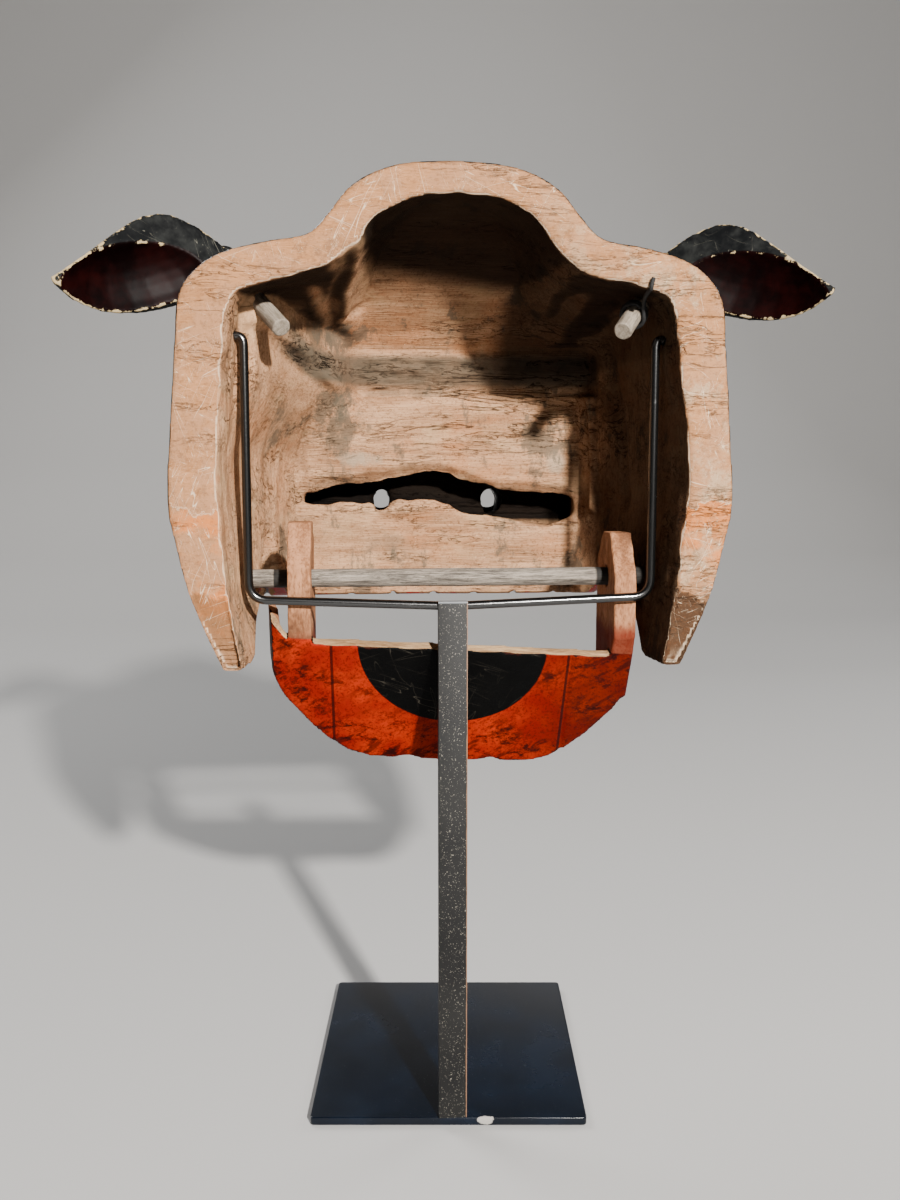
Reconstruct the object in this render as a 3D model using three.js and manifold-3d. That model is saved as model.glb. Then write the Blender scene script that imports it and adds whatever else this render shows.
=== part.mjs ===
// Lion dance head of carved wood on a steel display stand, in millimetres.
// +Z is up, +Y is the way the lion faces, and the origin is on the floor under the middle.
import * as THREE from 'three';
import { mergeVertices } from 'three/addons/utils/BufferGeometryUtils.js';
import Module from 'manifold-3d';

const wasm = await Module();
wasm.setup();

// Clearances
const gap = 0.3;
const runningGap = 0.5;

// Head block, seen from behind: half outlines of the rear face, from the crown down to a leg's tip
const rimY = -123;
const mouthCornerZ = 430;
const legTipZ = 339.5;
const outerOutline = [
  { x: 0, z: 661 },
  { x: 30, z: 659.5 },
  { x: 52, z: 653 },
  { x: 68, z: 642.5 },
  { x: 80, z: 628 },
  { x: 94, z: 615 },
  { x: 118, z: 611 },
  { x: 146, z: 603.5 },
  { x: 165, z: 591 },
  { x: 174, z: 574 },
  { x: 176.5, z: 545 },
  { x: 180.5, z: 500 },
  { x: 184, z: 450 },
  { x: 180, z: 424 },
  { x: 171, z: 386 },
  { x: 151.5, z: legTipZ },
];
const innerOutline = [
  { x: 0, z: 641.6 },
  { x: 24, z: 640.2 },
  { x: 40, z: 634.2 },
  { x: 54, z: 624.5 },
  { x: 64, z: 611.5 },
  { x: 77, z: 598 },
  { x: 92, z: 592 },
  { x: 120, z: 587.5 },
  { x: 139, z: 581 },
  { x: 143.5, z: 572 },
  { x: 146.5, z: 548 },
  { x: 150.5, z: 515 },
  { x: 153.5, z: 480 },
  { x: 153.5, z: 440 },
  { x: 150.5, z: 400 },
  { x: 146, z: 372 },
  { x: 138, z: 330 },
];

const outlineDivisions = 40;

// How the block and its hollow narrow towards the face; height is measured from the mouth corner
const outerSections = [
  { y: rimY, width: 1, height: 1 },
  { y: -50, width: 0.985, height: 0.985 },
  { y: 10, width: 0.91, height: 0.91 },
  { y: 50, width: 0.8, height: 0.78 },
  { y: 78, width: 0.67, height: 0.6 },
  { y: 93, width: 0.5, height: 0.42 },
];
const innerSections = [
  { y: rimY - 1, width: 1, height: 1 },
  { y: -60, width: 0.94, height: 0.99 },
  { y: -10, width: 0.87, height: 0.94 },
  { y: 22, width: 0.8, height: 0.82 },
  { y: 40, width: 0.75, height: 0.58 },
];

// Side view of what is cut away below: leg front, slot at the mouth corner, lower edge of the upper lip
const lipZ = 369;
const underCut = [
  { y: -84, z: 300 },
  { y: -84, z: 338 },
  { y: -62, z: 360 },
  { y: -49, z: 372 },
  { y: -36, z: 392 },
  { y: -7, z: 425 },
  { y: -3, z: 425 },
  { y: 4, z: 403 },
  { y: 10, z: 384 },
  { y: 20, z: 372 },
  { y: 50, z: lipZ },
  { y: 160, z: lipZ - 3 },
  { y: 160, z: 300 },
];

// Inside of the face: ledge under the crown, wavy eye slot, eye holes
const ledge = { y: 33, z: 546, radius: 12, halfLength: 118 };
const slotFloorY = 62;
const slotDepth = 40;
const slotEdges = [
  { x: -110, top: 450, bottom: 443 },
  { x: -85, top: 459, bottom: 443 },
  { x: -42, top: 463, bottom: 444 },
  { x: -5, top: 471, bottom: 446 },
  { x: 18, top: 464, bottom: 438 },
  { x: 50, top: 454, bottom: 431 },
  { x: 88, top: 452, bottom: 425 },
  { x: 110, top: 448, bottom: 433 },
];
const eyeHole = { x: 46, z: 446, radius: 8.7 };

// Face forms, each an ellipsoid set into the block: centre and half sizes
const faceForms = [
  { x: 56, y: 74, z: 496, rx: 46, ry: 34, rz: 18 },
  { x: 46, y: 82, z: 449, rx: 31, ry: 32, rz: 27 },
  { x: 96, y: 30, z: 425, rx: 46, ry: 42, rz: 46 },
  { x: 33, y: 86, z: 412, rx: 27, ry: 31, rz: 19 },
];
const noseTip = { y: 88, z: 417, rx: 26, ry: 35, rz: 24 };
const noseRidge = { y: 76, z: 458, rx: 15, ry: 32, rz: 46 };
const crownKnob = { y: 20, z: 610, rx: 34, ry: 50, rz: 34 };
const nostril = { x: 35, y: 114, z: 408, rx: 8, ry: 9, rz: 6 };
const upperLip = { y: 10, z: 366, depth: 15, height: 30, halfWidth: 116, reach: 84 };
const toothPitch = 33;
const toothShift = -4.9;
const teeth = [-3, -2, -1, 0, 1, 2, 3].map((i) => i * toothPitch + toothShift);
const toothGroove = { y: 30, width: 2, height: 18, reach: 100 };

// Jaw hinge: a wooden rod across the mouth
const hinge = { y: -62, z: 394 };
const rodRadius = 6.5;
const rodHalfLength = 158;

// Lower jaw as it hangs, measured from the hinge: its rear edge, and the steep slope of its tray
const jawCentreX = 2;
const jawRear = { y: -26, z: -48 };
const jawSlope = THREE.MathUtils.degToRad(62);
const jawSkew = 0.07;
const jawFloor = 8;
const jawWall = 6;
const jawWallHeight = 24;
const jawLipFlare = 1.03;
const jawOutline = [
  { x: 125, reach: 0 },
  { x: 126, reach: 32 },
  { x: 118, reach: 49 },
  { x: 101, reach: 73 },
  { x: 87, reach: 88 },
  { x: 74, reach: 98 },
  { x: 58, reach: 103 },
  { x: 42, reach: 104 },
  { x: 31, reach: 101 },
  { x: 20, reach: 104 },
  { x: 0, reach: 105 },
];
const jawGroove = { x: 83, width: 3, depth: 1.5, length: 104 };

// Posts that carry the tray: side view behind, above and in front of the hinge
const postRearY = -29.7;
const postFrontY = 28;
const postSides = [
  { low: -112, high: -96, top: 40 },
  { low: 112.5, high: 128.5, top: 32 },
];

// Ears on round pegs that pass through the shoulders
const pegRadius = 6.2;
const pegEnd = new THREE.Vector3(110.5, -109, 559.5);
const pegAxis = new THREE.Vector3(0.46, 0.71, 0.53).normalize();
const pegIntoEar = 12;
const earSeat = 84;
const earBossRadius = 13;
const earBossHeight = 16;
const earRoot = new THREE.Vector3(153.8, -52, 623);
const earTip = new THREE.Vector3(252.6, -112, 588.5);
const earFacing = new THREE.Vector3(0, -1, 0.12);
const earDepth = 34;
const earRelief = 0.008;
const earTopEdge = [
  { x: 0, y: -2 },
  { x: 12, y: 14 },
  { x: 28, y: 26 },
  { x: 46, y: 28.5 },
  { x: 70, y: 20.5 },
  { x: 96, y: 9.5 },
  { x: 120.5, y: 0 },
];
const earLowEdge = [
  { x: 119, y: -4 },
  { x: 111, y: -11 },
  { x: 99, y: -19 },
  { x: 80, y: -25 },
  { x: 55, y: -27 },
  { x: 28, y: -26 },
  { x: 8, y: -20 },
  { x: -4, y: -11 },
];
const earBulge = { x: 48, y: -2, z: 6, rx: 74, ry: 52, rz: 34 };
const earScoop = { x: 70, y: -20, z: 10, rx: 56, ry: 35, rz: 28 };

// Cord lashed round the right peg, with its end laid up over the rim
const cordRadius = 1.5;
const cordSeat = 30;
const cordTurns = 2.5;
const cordEnd = [
  { x: 126.2, y: -101, z: 576.5 },
  { x: 125, y: -108, z: 581 },
  { x: 124.6, y: -117, z: 583.2 },
  { x: 124.6, y: -123, z: 583.8 },
  { x: 124.8, y: -124.8, z: 584.8 },
  { x: 125, y: -125.2, z: 587 },
  { x: 126, y: -125.2, z: 591 },
];

// Stand
const plate = { x: 4.4, y: 0, size: 200, thickness: 6, corner: 3, turn: THREE.MathUtils.degToRad(-4.4) };
const bar = { width: 20, thickness: 8, y: -96.5, topZ: 381 };
const wireRadius = 3;
const wireY = -95;
const wireFoot = { x: 137, z: 377.5, rise: 5, bend: 14 };
const wireHook = { x: 136.5, wallX: 151, z: 556, bend: 7 };

function solidFrom(geometry) {
  const bare = geometry.clone();
  bare.deleteAttribute('normal');
  bare.deleteAttribute('uv');
  const merged = mergeVertices(bare, 1e-4);
  return new wasm.Manifold(new wasm.Mesh({
    numProp: 3,
    vertProperties: new Float32Array(merged.attributes.position.array),
    triVerts: new Uint32Array(merged.index.array),
  }));
}

function geometryFrom(solid) {
  const mesh = solid.getMesh();
  const geometry = new THREE.BufferGeometry();
  geometry.setAttribute('position', new THREE.BufferAttribute(new Float32Array(mesh.vertProperties), 3));
  geometry.setIndex(new THREE.BufferAttribute(new Uint32Array(mesh.triVerts), 1));
  geometry.computeVertexNormals();
  return geometry;
}

function part(name, geometry, color, roughness, metalness = 0) {
  const mesh = new THREE.Mesh(geometry, new THREE.MeshStandardMaterial({ color, roughness, metalness }));
  mesh.name = name;
  return mesh;
}

// A mirrored outline as a smooth closed shape, flat along its bottom
function mirroredShape(half) {
  const points = half.map((p) => new THREE.Vector2(p.x, p.z));
  const right = new THREE.SplineCurve(points).getPoints(outlineDivisions);
  const left = right.slice(1).reverse().map((p) => new THREE.Vector2(-p.x, p.y));
  return new THREE.Shape([...left, ...right]);
}

// An outline seen from behind, drawn out from the face back to the rim through the given sections
function sectionedBlock(half, sections) {
  const last = sections.length - 1;
  const geometry = new THREE.ExtrudeGeometry(mirroredShape(half), {
    depth: last,
    steps: last,
    bevelEnabled: false,
  });
  const position = geometry.attributes.position;
  for (let i = 0; i < position.count; i++) {
    const section = sections[last - Math.round(position.getZ(i))];
    const z = mouthCornerZ + (position.getY(i) - mouthCornerZ) * section.height;
    position.setXYZ(i, position.getX(i) * section.width, section.y, z);
  }
  return geometry;
}

// A side-view outline of y and z points, drawn across between two x values
function acrossBlock(points, low, high) {
  const shape = new THREE.Shape(points.map((p) => new THREE.Vector2(p.y, p.z)));
  const geometry = new THREE.ExtrudeGeometry(shape, { depth: high - low, bevelEnabled: false });
  const turn = new THREE.Matrix4().set(0, 0, 1, low, 1, 0, 0, 0, 0, 1, 0, 0, 0, 0, 0, 1);
  return geometry.applyMatrix4(turn);
}

function ellipsoid(x, form) {
  return new THREE.SphereGeometry(1, 20, 12).scale(form.rx, form.ry, form.rz).translate(x, form.y, form.z);
}

// A cylinder from a start point along a direction
function rodAlong(start, direction, length, radius, sides) {
  const geometry = new THREE.CylinderGeometry(radius, radius, length, sides);
  const turn = new THREE.Quaternion().setFromUnitVectors(new THREE.Vector3(0, 1, 0), direction);
  geometry.translate(0, length / 2, 0);
  return geometry.applyQuaternion(turn).translate(start.x, start.y, start.z);
}

// A round bar or bore along X, the same length each side of the middle
function crossBar(halfLength, y, z, radius) {
  return rodAlong(new THREE.Vector3(-halfLength, y, z), new THREE.Vector3(1, 0, 0), halfLength * 2, radius, 24);
}

function sided(vector, side) {
  return new THREE.Vector3(vector.x * side, vector.y, vector.z);
}

// The same piece on the other side, with its faces still pointing out
function mirroredCopy(geometry) {
  const copy = geometry.clone().scale(-1, 1, 1);
  const index = copy.index.array;
  for (let i = 0; i < index.length; i += 3) {
    [index[i], index[i + 1]] = [index[i + 1], index[i]];
  }
  copy.computeVertexNormals();
  return copy;
}

// One carved block: hollow open behind and below, legs, face forms, teeth and drilled holes
function headShell() {
  const additions = [noseTip, noseRidge, crownKnob].map((form) => ellipsoid(0, form));
  const cuts = [acrossBlock(underCut, -200, 200), crossBar(200, hinge.y, hinge.z, rodRadius + gap)];
  for (const side of [-1, 1]) {
    additions.push(...faceForms.map((form) => ellipsoid(form.x * side, form)));
    cuts.push(...drillings(side));
  }
  cuts.push(...toothGrooves());
  let block = solidFrom(sectionedBlock(outerOutline, outerSections)).add(solidFrom(lipBand()));
  for (const form of additions) {
    block = block.add(solidFrom(form));
  }
  block = block.subtract(hollow());
  for (const cut of cuts) {
    block = block.subtract(solidFrom(cut));
  }
  return geometryFrom(block);
}

// Holes on one side: peg, ear seat, eye, nostril and the socket for the stand's wire
function drillings(side) {
  const axis = sided(pegAxis, side);
  const start = sided(pegEnd, side);
  const seat = start.clone().addScaledVector(axis, earSeat);
  const eye = new THREE.Vector3(eyeHole.x * side, 0, eyeHole.z);
  const wireEnd = new THREE.Vector3(wireHook.x * side, wireY, wireHook.z);
  const wireDepth = wireHook.wallX - wireHook.x + gap;
  return [
    rodAlong(start, axis, earSeat + 10, pegRadius + gap, 16),
    rodAlong(seat, axis, 60, earBossRadius + runningGap, 24),
    rodAlong(eye, new THREE.Vector3(0, 1, 0), 140, eyeHole.radius, 16),
    rodAlong(wireEnd, new THREE.Vector3(side, 0, 0), wireDepth, wireRadius + runningGap, 12),
    ellipsoid(nostril.x * side, nostril),
  ];
}

// The dancer's space, with the slot behind the eyes and the ledge under the crown
function hollow() {
  const space = solidFrom(sectionedBlock(innerOutline, innerSections));
  const ledgeBar = solidFrom(crossBar(ledge.halfLength, ledge.y, ledge.z, ledge.radius));
  return space.subtract(ledgeBar).add(solidFrom(eyeSlot()));
}

function eyeSlot() {
  const top = slotEdges.map((p) => new THREE.Vector2(p.x, p.top)).reverse();
  const bottom = slotEdges.map((p) => new THREE.Vector2(p.x, p.bottom));
  const geometry = new THREE.ExtrudeGeometry(new THREE.Shape([...bottom, ...top]), {
    depth: slotDepth,
    bevelEnabled: false,
  });
  return geometry.rotateX(Math.PI / 2).translate(0, slotFloorY, 0);
}

// Curved band that carries the upper teeth
function lipBand() {
  const arc = (inset, clockwise) => new THREE.EllipseCurve(
    0, 0, upperLip.halfWidth - inset, upperLip.reach - inset,
    clockwise ? Math.PI : 0, clockwise ? 0 : Math.PI, clockwise,
  ).getPoints(24);
  const shape = new THREE.Shape([...arc(0, false), ...arc(upperLip.depth, true)]);
  const geometry = new THREE.ExtrudeGeometry(shape, { depth: upperLip.height, bevelEnabled: false });
  return geometry.translate(0, upperLip.y, upperLip.z);
}

function toothGrooves() {
  return teeth.map((x) => new THREE.BoxGeometry(toothGroove.width, toothGroove.reach, toothGroove.height)
    .translate(x, toothGroove.reach / 2 + toothGroove.y, lipZ));
}

// The tray of the jaw: an outline drawn up square to its floor, then laid at the jaw's slope
function trayBlock(inset, floor, height, rear) {
  const half = jawOutline.map((p) => new THREE.Vector2(Math.max(p.x - inset, 0), p.reach - (p.reach ? inset : rear)));
  const left = half.slice(0, -1).map((p) => new THREE.Vector2(-p.x, p.y)).reverse();
  const geometry = new THREE.ExtrudeGeometry(new THREE.Shape([...half, ...left]), {
    depth: 1,
    bevelEnabled: false,
  });
  const position = geometry.attributes.position;
  for (let i = 0; i < position.count; i++) {
    const isTop = position.getZ(i) > 0.5;
    const x = position.getX(i) * (isTop ? jawLipFlare : 1) + jawCentreX;
    const reach = position.getY(i) * (isTop ? jawLipFlare : 1) + x * jawSkew;
    position.setXYZ(i, x, reach, isTop ? height : floor);
  }
  return solidFrom(geometry.rotateX(-jawSlope).translate(0, jawRear.y, jawRear.z));
}

function trayGroove(side) {
  const geometry = new THREE.BoxGeometry(jawGroove.width, jawGroove.length, jawGroove.depth * 2);
  geometry.translate(jawGroove.x * side + jawCentreX, jawGroove.length / 2, 0);
  return solidFrom(geometry.rotateX(-jawSlope).translate(0, jawRear.y, jawRear.z));
}

function postProfile(top) {
  return [
    { y: postRearY, z: -41 },
    { y: -4, z: -89 },
    { y: postFrontY, z: -62 },
    { y: postFrontY, z: top - 20 },
    { y: 10, z: top },
    { y: -12, z: top },
    { y: postRearY, z: top - 29 },
  ];
}

// Lower jaw, hanging open: tray with low walls, open behind, and the two posts that hang on the rod
function lowerJaw() {
  let jaw = trayBlock(0, 0, jawWallHeight, 0);
  jaw = jaw.subtract(trayBlock(jawWall, jawFloor, jawWallHeight + 5, 30));
  for (const post of postSides) {
    jaw = jaw.add(solidFrom(acrossBlock(postProfile(post.top), post.low, post.high)));
  }
  jaw = jaw.subtract(solidFrom(crossBar(200, 0, 0, rodRadius + runningGap)));
  return geometryFrom(jaw.subtract(trayGroove(-1)).subtract(trayGroove(1)));
}

// Right ear: a leaf with a convex back, a thick upper edge and a scooped inside that faces backwards
function earGeometry() {
  const curve = (points) => new THREE.SplineCurve(points.map((p) => new THREE.Vector2(p.x, p.y))).getPoints(12);
  const leaf = new THREE.Shape([...curve(earTopEdge), ...curve(earLowEdge)].reverse());
  const slab = new THREE.ExtrudeGeometry(leaf, { depth: earDepth, bevelEnabled: false }).translate(0, 0, -earDepth);
  const blade = solidFrom(slab).intersect(solidFrom(globe(earBulge))).subtract(solidFrom(globe(earScoop)));
  const seat = pegEnd.clone().addScaledVector(pegAxis, earSeat + gap);
  const along = earTip.clone().sub(earRoot).normalize();
  const up = new THREE.Vector3().crossVectors(earFacing, along).normalize();
  const facing = new THREE.Vector3().crossVectors(along, up);
  const place = new THREE.Matrix4().makeBasis(along, up, facing).setPosition(earRoot);
  const clearOfHead = outerSections.map((s) => ({
    y: s.y,
    width: s.width + earRelief,
    height: s.height + earRelief,
  }));
  const ear = solidFrom(geometryFrom(blade).applyMatrix4(place))
    .subtract(solidFrom(sectionedBlock(outerOutline, clearOfHead)))
    .add(solidFrom(rodAlong(seat, pegAxis, earBossHeight, earBossRadius, 22)))
    .subtract(solidFrom(rodAlong(pegEnd, pegAxis, earSeat + pegIntoEar, pegRadius + gap, 16)));
  return geometryFrom(ear);
}

function globe(form) {
  return new THREE.SphereGeometry(1, 24, 16).scale(form.rx, form.ry, form.rz).translate(form.x, form.y, form.z);
}

function pegGeometry() {
  return rodAlong(pegEnd, pegAxis, earSeat + pegIntoEar - gap, pegRadius, 16);
}

// Cord wound round the right peg as one coil, with its end going up over the rim
function pegTie() {
  const across = new THREE.Vector3(0, 0, 1).cross(pegAxis).normalize();
  const outward = new THREE.Vector3().crossVectors(pegAxis, across);
  const coilRadius = pegRadius + gap + cordRadius;
  const points = [];
  for (let turn = 0; turn <= cordTurns; turn += 1 / 12) {
    const angle = turn * Math.PI * 2;
    points.push(pegEnd.clone()
      .addScaledVector(pegAxis, cordSeat - turn * (cordRadius * 2 + gap))
      .addScaledVector(across, Math.cos(angle) * coilRadius)
      .addScaledVector(outward, -Math.sin(angle) * coilRadius));
  }
  points.push(...cordEnd.map((p) => new THREE.Vector3(p.x, p.y, p.z)));
  return alongPath(new THREE.CatmullRomCurve3(points), cordRadius, 56, 3);
}

function alongPath(path, radius, steps, curveSegments) {
  const section = new THREE.Shape().absarc(0, 0, radius, 0, Math.PI * 2);
  return new THREE.ExtrudeGeometry(section, { steps, extrudePath: path, curveSegments });
}

function plateGeometry() {
  const middle = plate.size / 2 - plate.corner;
  const shape = new THREE.Shape();
  shape.absarc(middle, middle, plate.corner, 0, Math.PI / 2);
  shape.absarc(-middle, middle, plate.corner, Math.PI / 2, Math.PI);
  shape.absarc(-middle, -middle, plate.corner, Math.PI, Math.PI * 1.5);
  shape.absarc(middle, -middle, plate.corner, Math.PI * 1.5, Math.PI * 2);
  return new THREE.ExtrudeGeometry(shape, { depth: plate.thickness, bevelEnabled: false, curveSegments: 3 });
}

// The wire's middle line, from inside one wall down, across the top of the bar, and up into the other
function wirePath() {
  const half = (side) => {
    const at = (x, z) => new THREE.Vector3(x * side, wireY, z);
    const lowZ = wireFoot.z + wireFoot.rise;
    const hookStart = at(wireHook.x + wireHook.bend * 0.6, wireHook.z);
    const legTop = at(wireHook.x, wireHook.z - wireHook.bend);
    const legFoot = at(wireFoot.x, lowZ + wireFoot.bend);
    const runEnd = at(wireFoot.x - wireFoot.bend, lowZ);
    return [
      new THREE.LineCurve3(at(wireHook.wallX, wireHook.z), hookStart),
      new THREE.QuadraticBezierCurve3(hookStart, at(wireHook.x, wireHook.z), legTop),
      new THREE.LineCurve3(legTop, legFoot),
      new THREE.QuadraticBezierCurve3(legFoot, at(wireFoot.x, lowZ), runEnd),
      new THREE.LineCurve3(runEnd, at(0, wireFoot.z)),
    ];
  };
  const path = new THREE.CurvePath();
  half(1).forEach((curve) => path.add(curve));
  half(-1).reverse().forEach((curve) => path.add(reversed(curve)));
  return path;
}

function reversed(curve) {
  if (curve.isQuadraticBezierCurve3) {
    return new THREE.QuadraticBezierCurve3(curve.v2, curve.v1, curve.v0);
  }
  return new THREE.LineCurve3(curve.v2, curve.v1);
}

function wireGeometry(radius) {
  return alongPath(wirePath(), radius, 84, 4);
}

// Upright with a cross hole near its top for the wire
function barGeometry() {
  const foot = plate.thickness + gap;
  const height = bar.topZ - foot;
  const stock = new THREE.BoxGeometry(bar.width, bar.thickness, height).translate(0, bar.y, foot + height / 2);
  return geometryFrom(solidFrom(stock).subtract(solidFrom(wireGeometry(wireRadius + gap))));
}

const ear = earGeometry();
const peg = pegGeometry();
const head = new THREE.Group();
head.add(part('head_shell', headShell(), 0x9a6f55, 0.85));
head.add(part('ear_left', mirroredCopy(ear), 0x141110, 0.35));
head.add(part('ear_right', ear, 0x141110, 0.35));
head.add(part('ear_peg_left', mirroredCopy(peg), 0x9d9286, 0.9));
head.add(part('ear_peg_right', peg, 0x9d9286, 0.9));
head.add(part('peg_tie', pegTie(), 0x0c0c0e, 0.6));
head.add(part('jaw_rod', crossBar(rodHalfLength, hinge.y, hinge.z, rodRadius), 0x6d645c, 0.9));

const jaw = part('lower_jaw', lowerJaw(), 0xa9341a, 0.55);
jaw.position.set(0, hinge.y, hinge.z);

const stand = new THREE.Group();
const foot = part('stand_plate', plateGeometry(), 0x101216, 0.35, 0.6);
foot.position.set(plate.x, plate.y, 0);
foot.rotation.z = plate.turn;
stand.add(foot);
stand.add(part('stand_bar', barGeometry(), 0x2a2826, 0.6, 0.5));
stand.add(part('stand_wire', wireGeometry(wireRadius), 0x1c1c1c, 0.4, 0.7));

const root = new THREE.Group();
root.add(head, jaw, stand);

export default root;
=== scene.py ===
import math

import bmesh
import bpy
import numpy as np
from mathutils import Matrix, Vector, noise


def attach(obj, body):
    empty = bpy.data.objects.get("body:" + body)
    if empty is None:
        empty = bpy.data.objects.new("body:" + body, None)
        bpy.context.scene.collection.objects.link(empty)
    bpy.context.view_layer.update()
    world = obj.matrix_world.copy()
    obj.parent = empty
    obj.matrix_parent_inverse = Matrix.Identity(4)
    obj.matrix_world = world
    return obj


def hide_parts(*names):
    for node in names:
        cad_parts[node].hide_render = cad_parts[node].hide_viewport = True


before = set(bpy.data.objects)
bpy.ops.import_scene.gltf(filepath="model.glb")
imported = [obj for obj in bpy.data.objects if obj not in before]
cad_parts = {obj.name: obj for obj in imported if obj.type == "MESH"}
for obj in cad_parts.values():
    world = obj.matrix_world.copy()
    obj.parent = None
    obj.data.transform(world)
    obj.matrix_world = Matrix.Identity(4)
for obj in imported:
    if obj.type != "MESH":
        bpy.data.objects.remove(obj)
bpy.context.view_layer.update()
world_scene = bpy.context.scene


# Studio
# A pale floor that sweeps up behind the stand, a soft key lamp high on the right, a wide fill
# on the left, and the camera level with the mouth of the head, looking into its open back.
def paint(red, green, blue):
    """A colour mixed as 0 to 255 on a screen, as the linear values that a shader takes"""
    return tuple((c / 255.0) ** 2.2 for c in (red, green, blue)) + (1.0,)


def add_node(tree, kind, feeds=None, **settings):
    """A shader node with its settings, then its inputs, each a constant or another node's output"""
    made = tree.nodes.new("ShaderNode" + kind)
    for name, value in settings.items():
        setattr(made, name, value)
    for socket, value in (feeds or {}).items():
        if isinstance(value, bpy.types.NodeSocket):
            tree.links.new(value, made.inputs[socket])
        else:
            made.inputs[socket].default_value = value
    return made


def new_material(name):
    """An empty material and the tree and shader in it"""
    made = bpy.data.materials.new(name)
    made.use_nodes = True
    return made, made.node_tree, made.node_tree.nodes["Principled BSDF"]


SWEEP_PROFILE = [(-5.2, 5.0), (-5.2, 1.6), (-5.15, 0.9), (-5.0, 0.5), (-4.7, 0.2), (-4.3, 0.05), (-3.8, 0.0), (1.6, 0.0), (2.1, 0.05), (2.5, 0.2), (2.8, 0.5), (2.95, 0.9), (3.0, 1.6), (3.0, 5.0)]
sweep_mesh = bpy.data.meshes.new("floor_sweep")
sweep_mesh.from_pydata(
    [(x, y, z - 0.0006) for y, z in SWEEP_PROFILE for x in (-5.0, 5.0)],
    [],
    [(2 * i, 2 * i + 1, 2 * i + 3, 2 * i + 2) for i in range(len(SWEEP_PROFILE) - 1)],
)
for face in sweep_mesh.polygons:
    face.use_smooth = True
floor = bpy.data.objects.new("floor_sweep", sweep_mesh)
world_scene.collection.objects.link(floor)
floor_paper, floor_tree, floor_shader = new_material("floor_paper")
floor_shader.inputs["Base Color"].default_value = paint(158, 157, 156)
floor_shader.inputs["Roughness"].default_value = 0.9
far = add_node(floor_tree, "SeparateXYZ", {0: add_node(floor_tree, "TexCoord").outputs["Object"]}).outputs
aside = add_node(floor_tree, "Math", {0: far["X"]}, operation="ABSOLUTE").outputs[0]
aside = add_node(floor_tree, "MapRange", {"Value": aside, "From Min": 2.0, "From Max": 4.5}).outputs[0]
behind = add_node(floor_tree, "MapRange", {"Value": far["Y"], "From Min": -0.8, "From Max": -2.8}).outputs[0]
glow = add_node(floor_tree, "Math", {0: aside, 1: behind}, operation="MAXIMUM").outputs[0]
camera_ray = add_node(floor_tree, "LightPath").outputs["Is Camera Ray"]
glow = add_node(floor_tree, "Math", {0: glow, 1: camera_ray}, operation="MULTIPLY").outputs[0]
glow = add_node(floor_tree, "Math", {0: glow, 1: 0.36}, operation="MULTIPLY").outputs[0]
floor_tree.links.new(glow, floor_shader.inputs["Emission Strength"])
floor_shader.inputs["Emission Color"].default_value = (0.94, 0.95, 0.97, 1.0)
sweep_mesh.materials.append(floor_paper)


def add_lamp(name, place, aim, size, watts, tint, mirrored=True):
    lamp = bpy.data.lights.new(name, "AREA")
    lamp.shape = "DISK"
    lamp.size = size
    lamp.energy = watts
    lamp.color = tint
    stand = bpy.data.objects.new(name, lamp)
    stand.visible_glossy = mirrored
    stand.location = place
    stand.rotation_euler = (Vector(aim) - Vector(place)).to_track_quat("-Z", "Y").to_euler()
    world_scene.collection.objects.link(stand)


MOUTH = (0.0, 0.0, 0.45)
add_lamp("key_lamp", (0.631, -2.172, 1.424), MOUTH, 0.13, 245.0, (1.0, 0.965, 0.92))
add_lamp("fill_lamp", (-2.2, -1.8, 1.2), MOUTH, 2.2, 1.0, (0.95, 0.97, 1.0), mirrored=False)
add_lamp("front_lamp", (-1.7, 1.5, 2.3), MOUTH, 1.5, 75.0, (1.0, 1.0, 1.0))
add_lamp("side_lamp", (2.1, 1.3, 1.5), MOUTH, 1.2, 28.0, (1.0, 1.0, 1.0))
room = bpy.data.worlds.new("soft_room")
room.use_nodes = True
backdrop = room.node_tree.nodes["Background"]
backdrop.inputs["Color"].default_value = (0.82, 0.84, 0.87, 1.0)
seen_strength = add_node(room.node_tree, "MapRange", {"From Max": 1.0, "To Min": 0.025, "To Max": 0.5})
seen_ray = add_node(room.node_tree, "LightPath").outputs["Is Camera Ray"]
room.node_tree.links.new(seen_ray, seen_strength.inputs["Value"])
room.node_tree.links.new(seen_strength.outputs[0], backdrop.inputs["Strength"])
world_scene.world = room

lens = bpy.data.cameras.new("photo_camera")
lens.sensor_fit = "VERTICAL"
lens.sensor_height = 36.0
lens.lens = 31.05
camera = bpy.data.objects.new("photo_camera", lens)
camera.location = (-0.0554, -0.7924, 0.4688)
camera.rotation_euler = (math.radians(82.9), 0.0, math.radians(-4.4))
world_scene.collection.objects.link(camera)
world_scene.camera = camera


# Head shell
# One block of light wood, sawn flat behind, hollowed with gouges and black lacquered outside.
# The hollow is bare: long grain, a splintery ledge under the crown, soot marks and drying cracks.
# The rim is handled smooth, scratched, and chipped pale where the hollow starts.
# Shade is painted darker on the hollow's ceiling, right side, creases, eye slot and left scoop, and on the leg ends.
def even_copy(node, name, pitch, rounding):
    """A working copy of a CAD solid with even small faces and its edges worn a little round"""
    piece = bpy.data.objects.new(name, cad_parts[node].data.copy())
    world_scene.collection.objects.link(piece)
    skin = piece.modifiers.new("even_skin", "REMESH")
    skin.mode = "VOXEL"
    skin.voxel_size = pitch
    worn = piece.modifiers.new("worn_edges", "SMOOTH")
    worn.factor = 0.5
    worn.iterations = rounding
    bpy.context.view_layer.update()
    seen = piece.evaluated_get(bpy.context.evaluated_depsgraph_get())
    mesh = bpy.data.meshes.new_from_object(seen)
    piece.modifiers.clear()
    piece.data = mesh
    mesh.name = name
    mesh.materials.clear()
    mesh.shade_smooth()
    return piece


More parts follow.
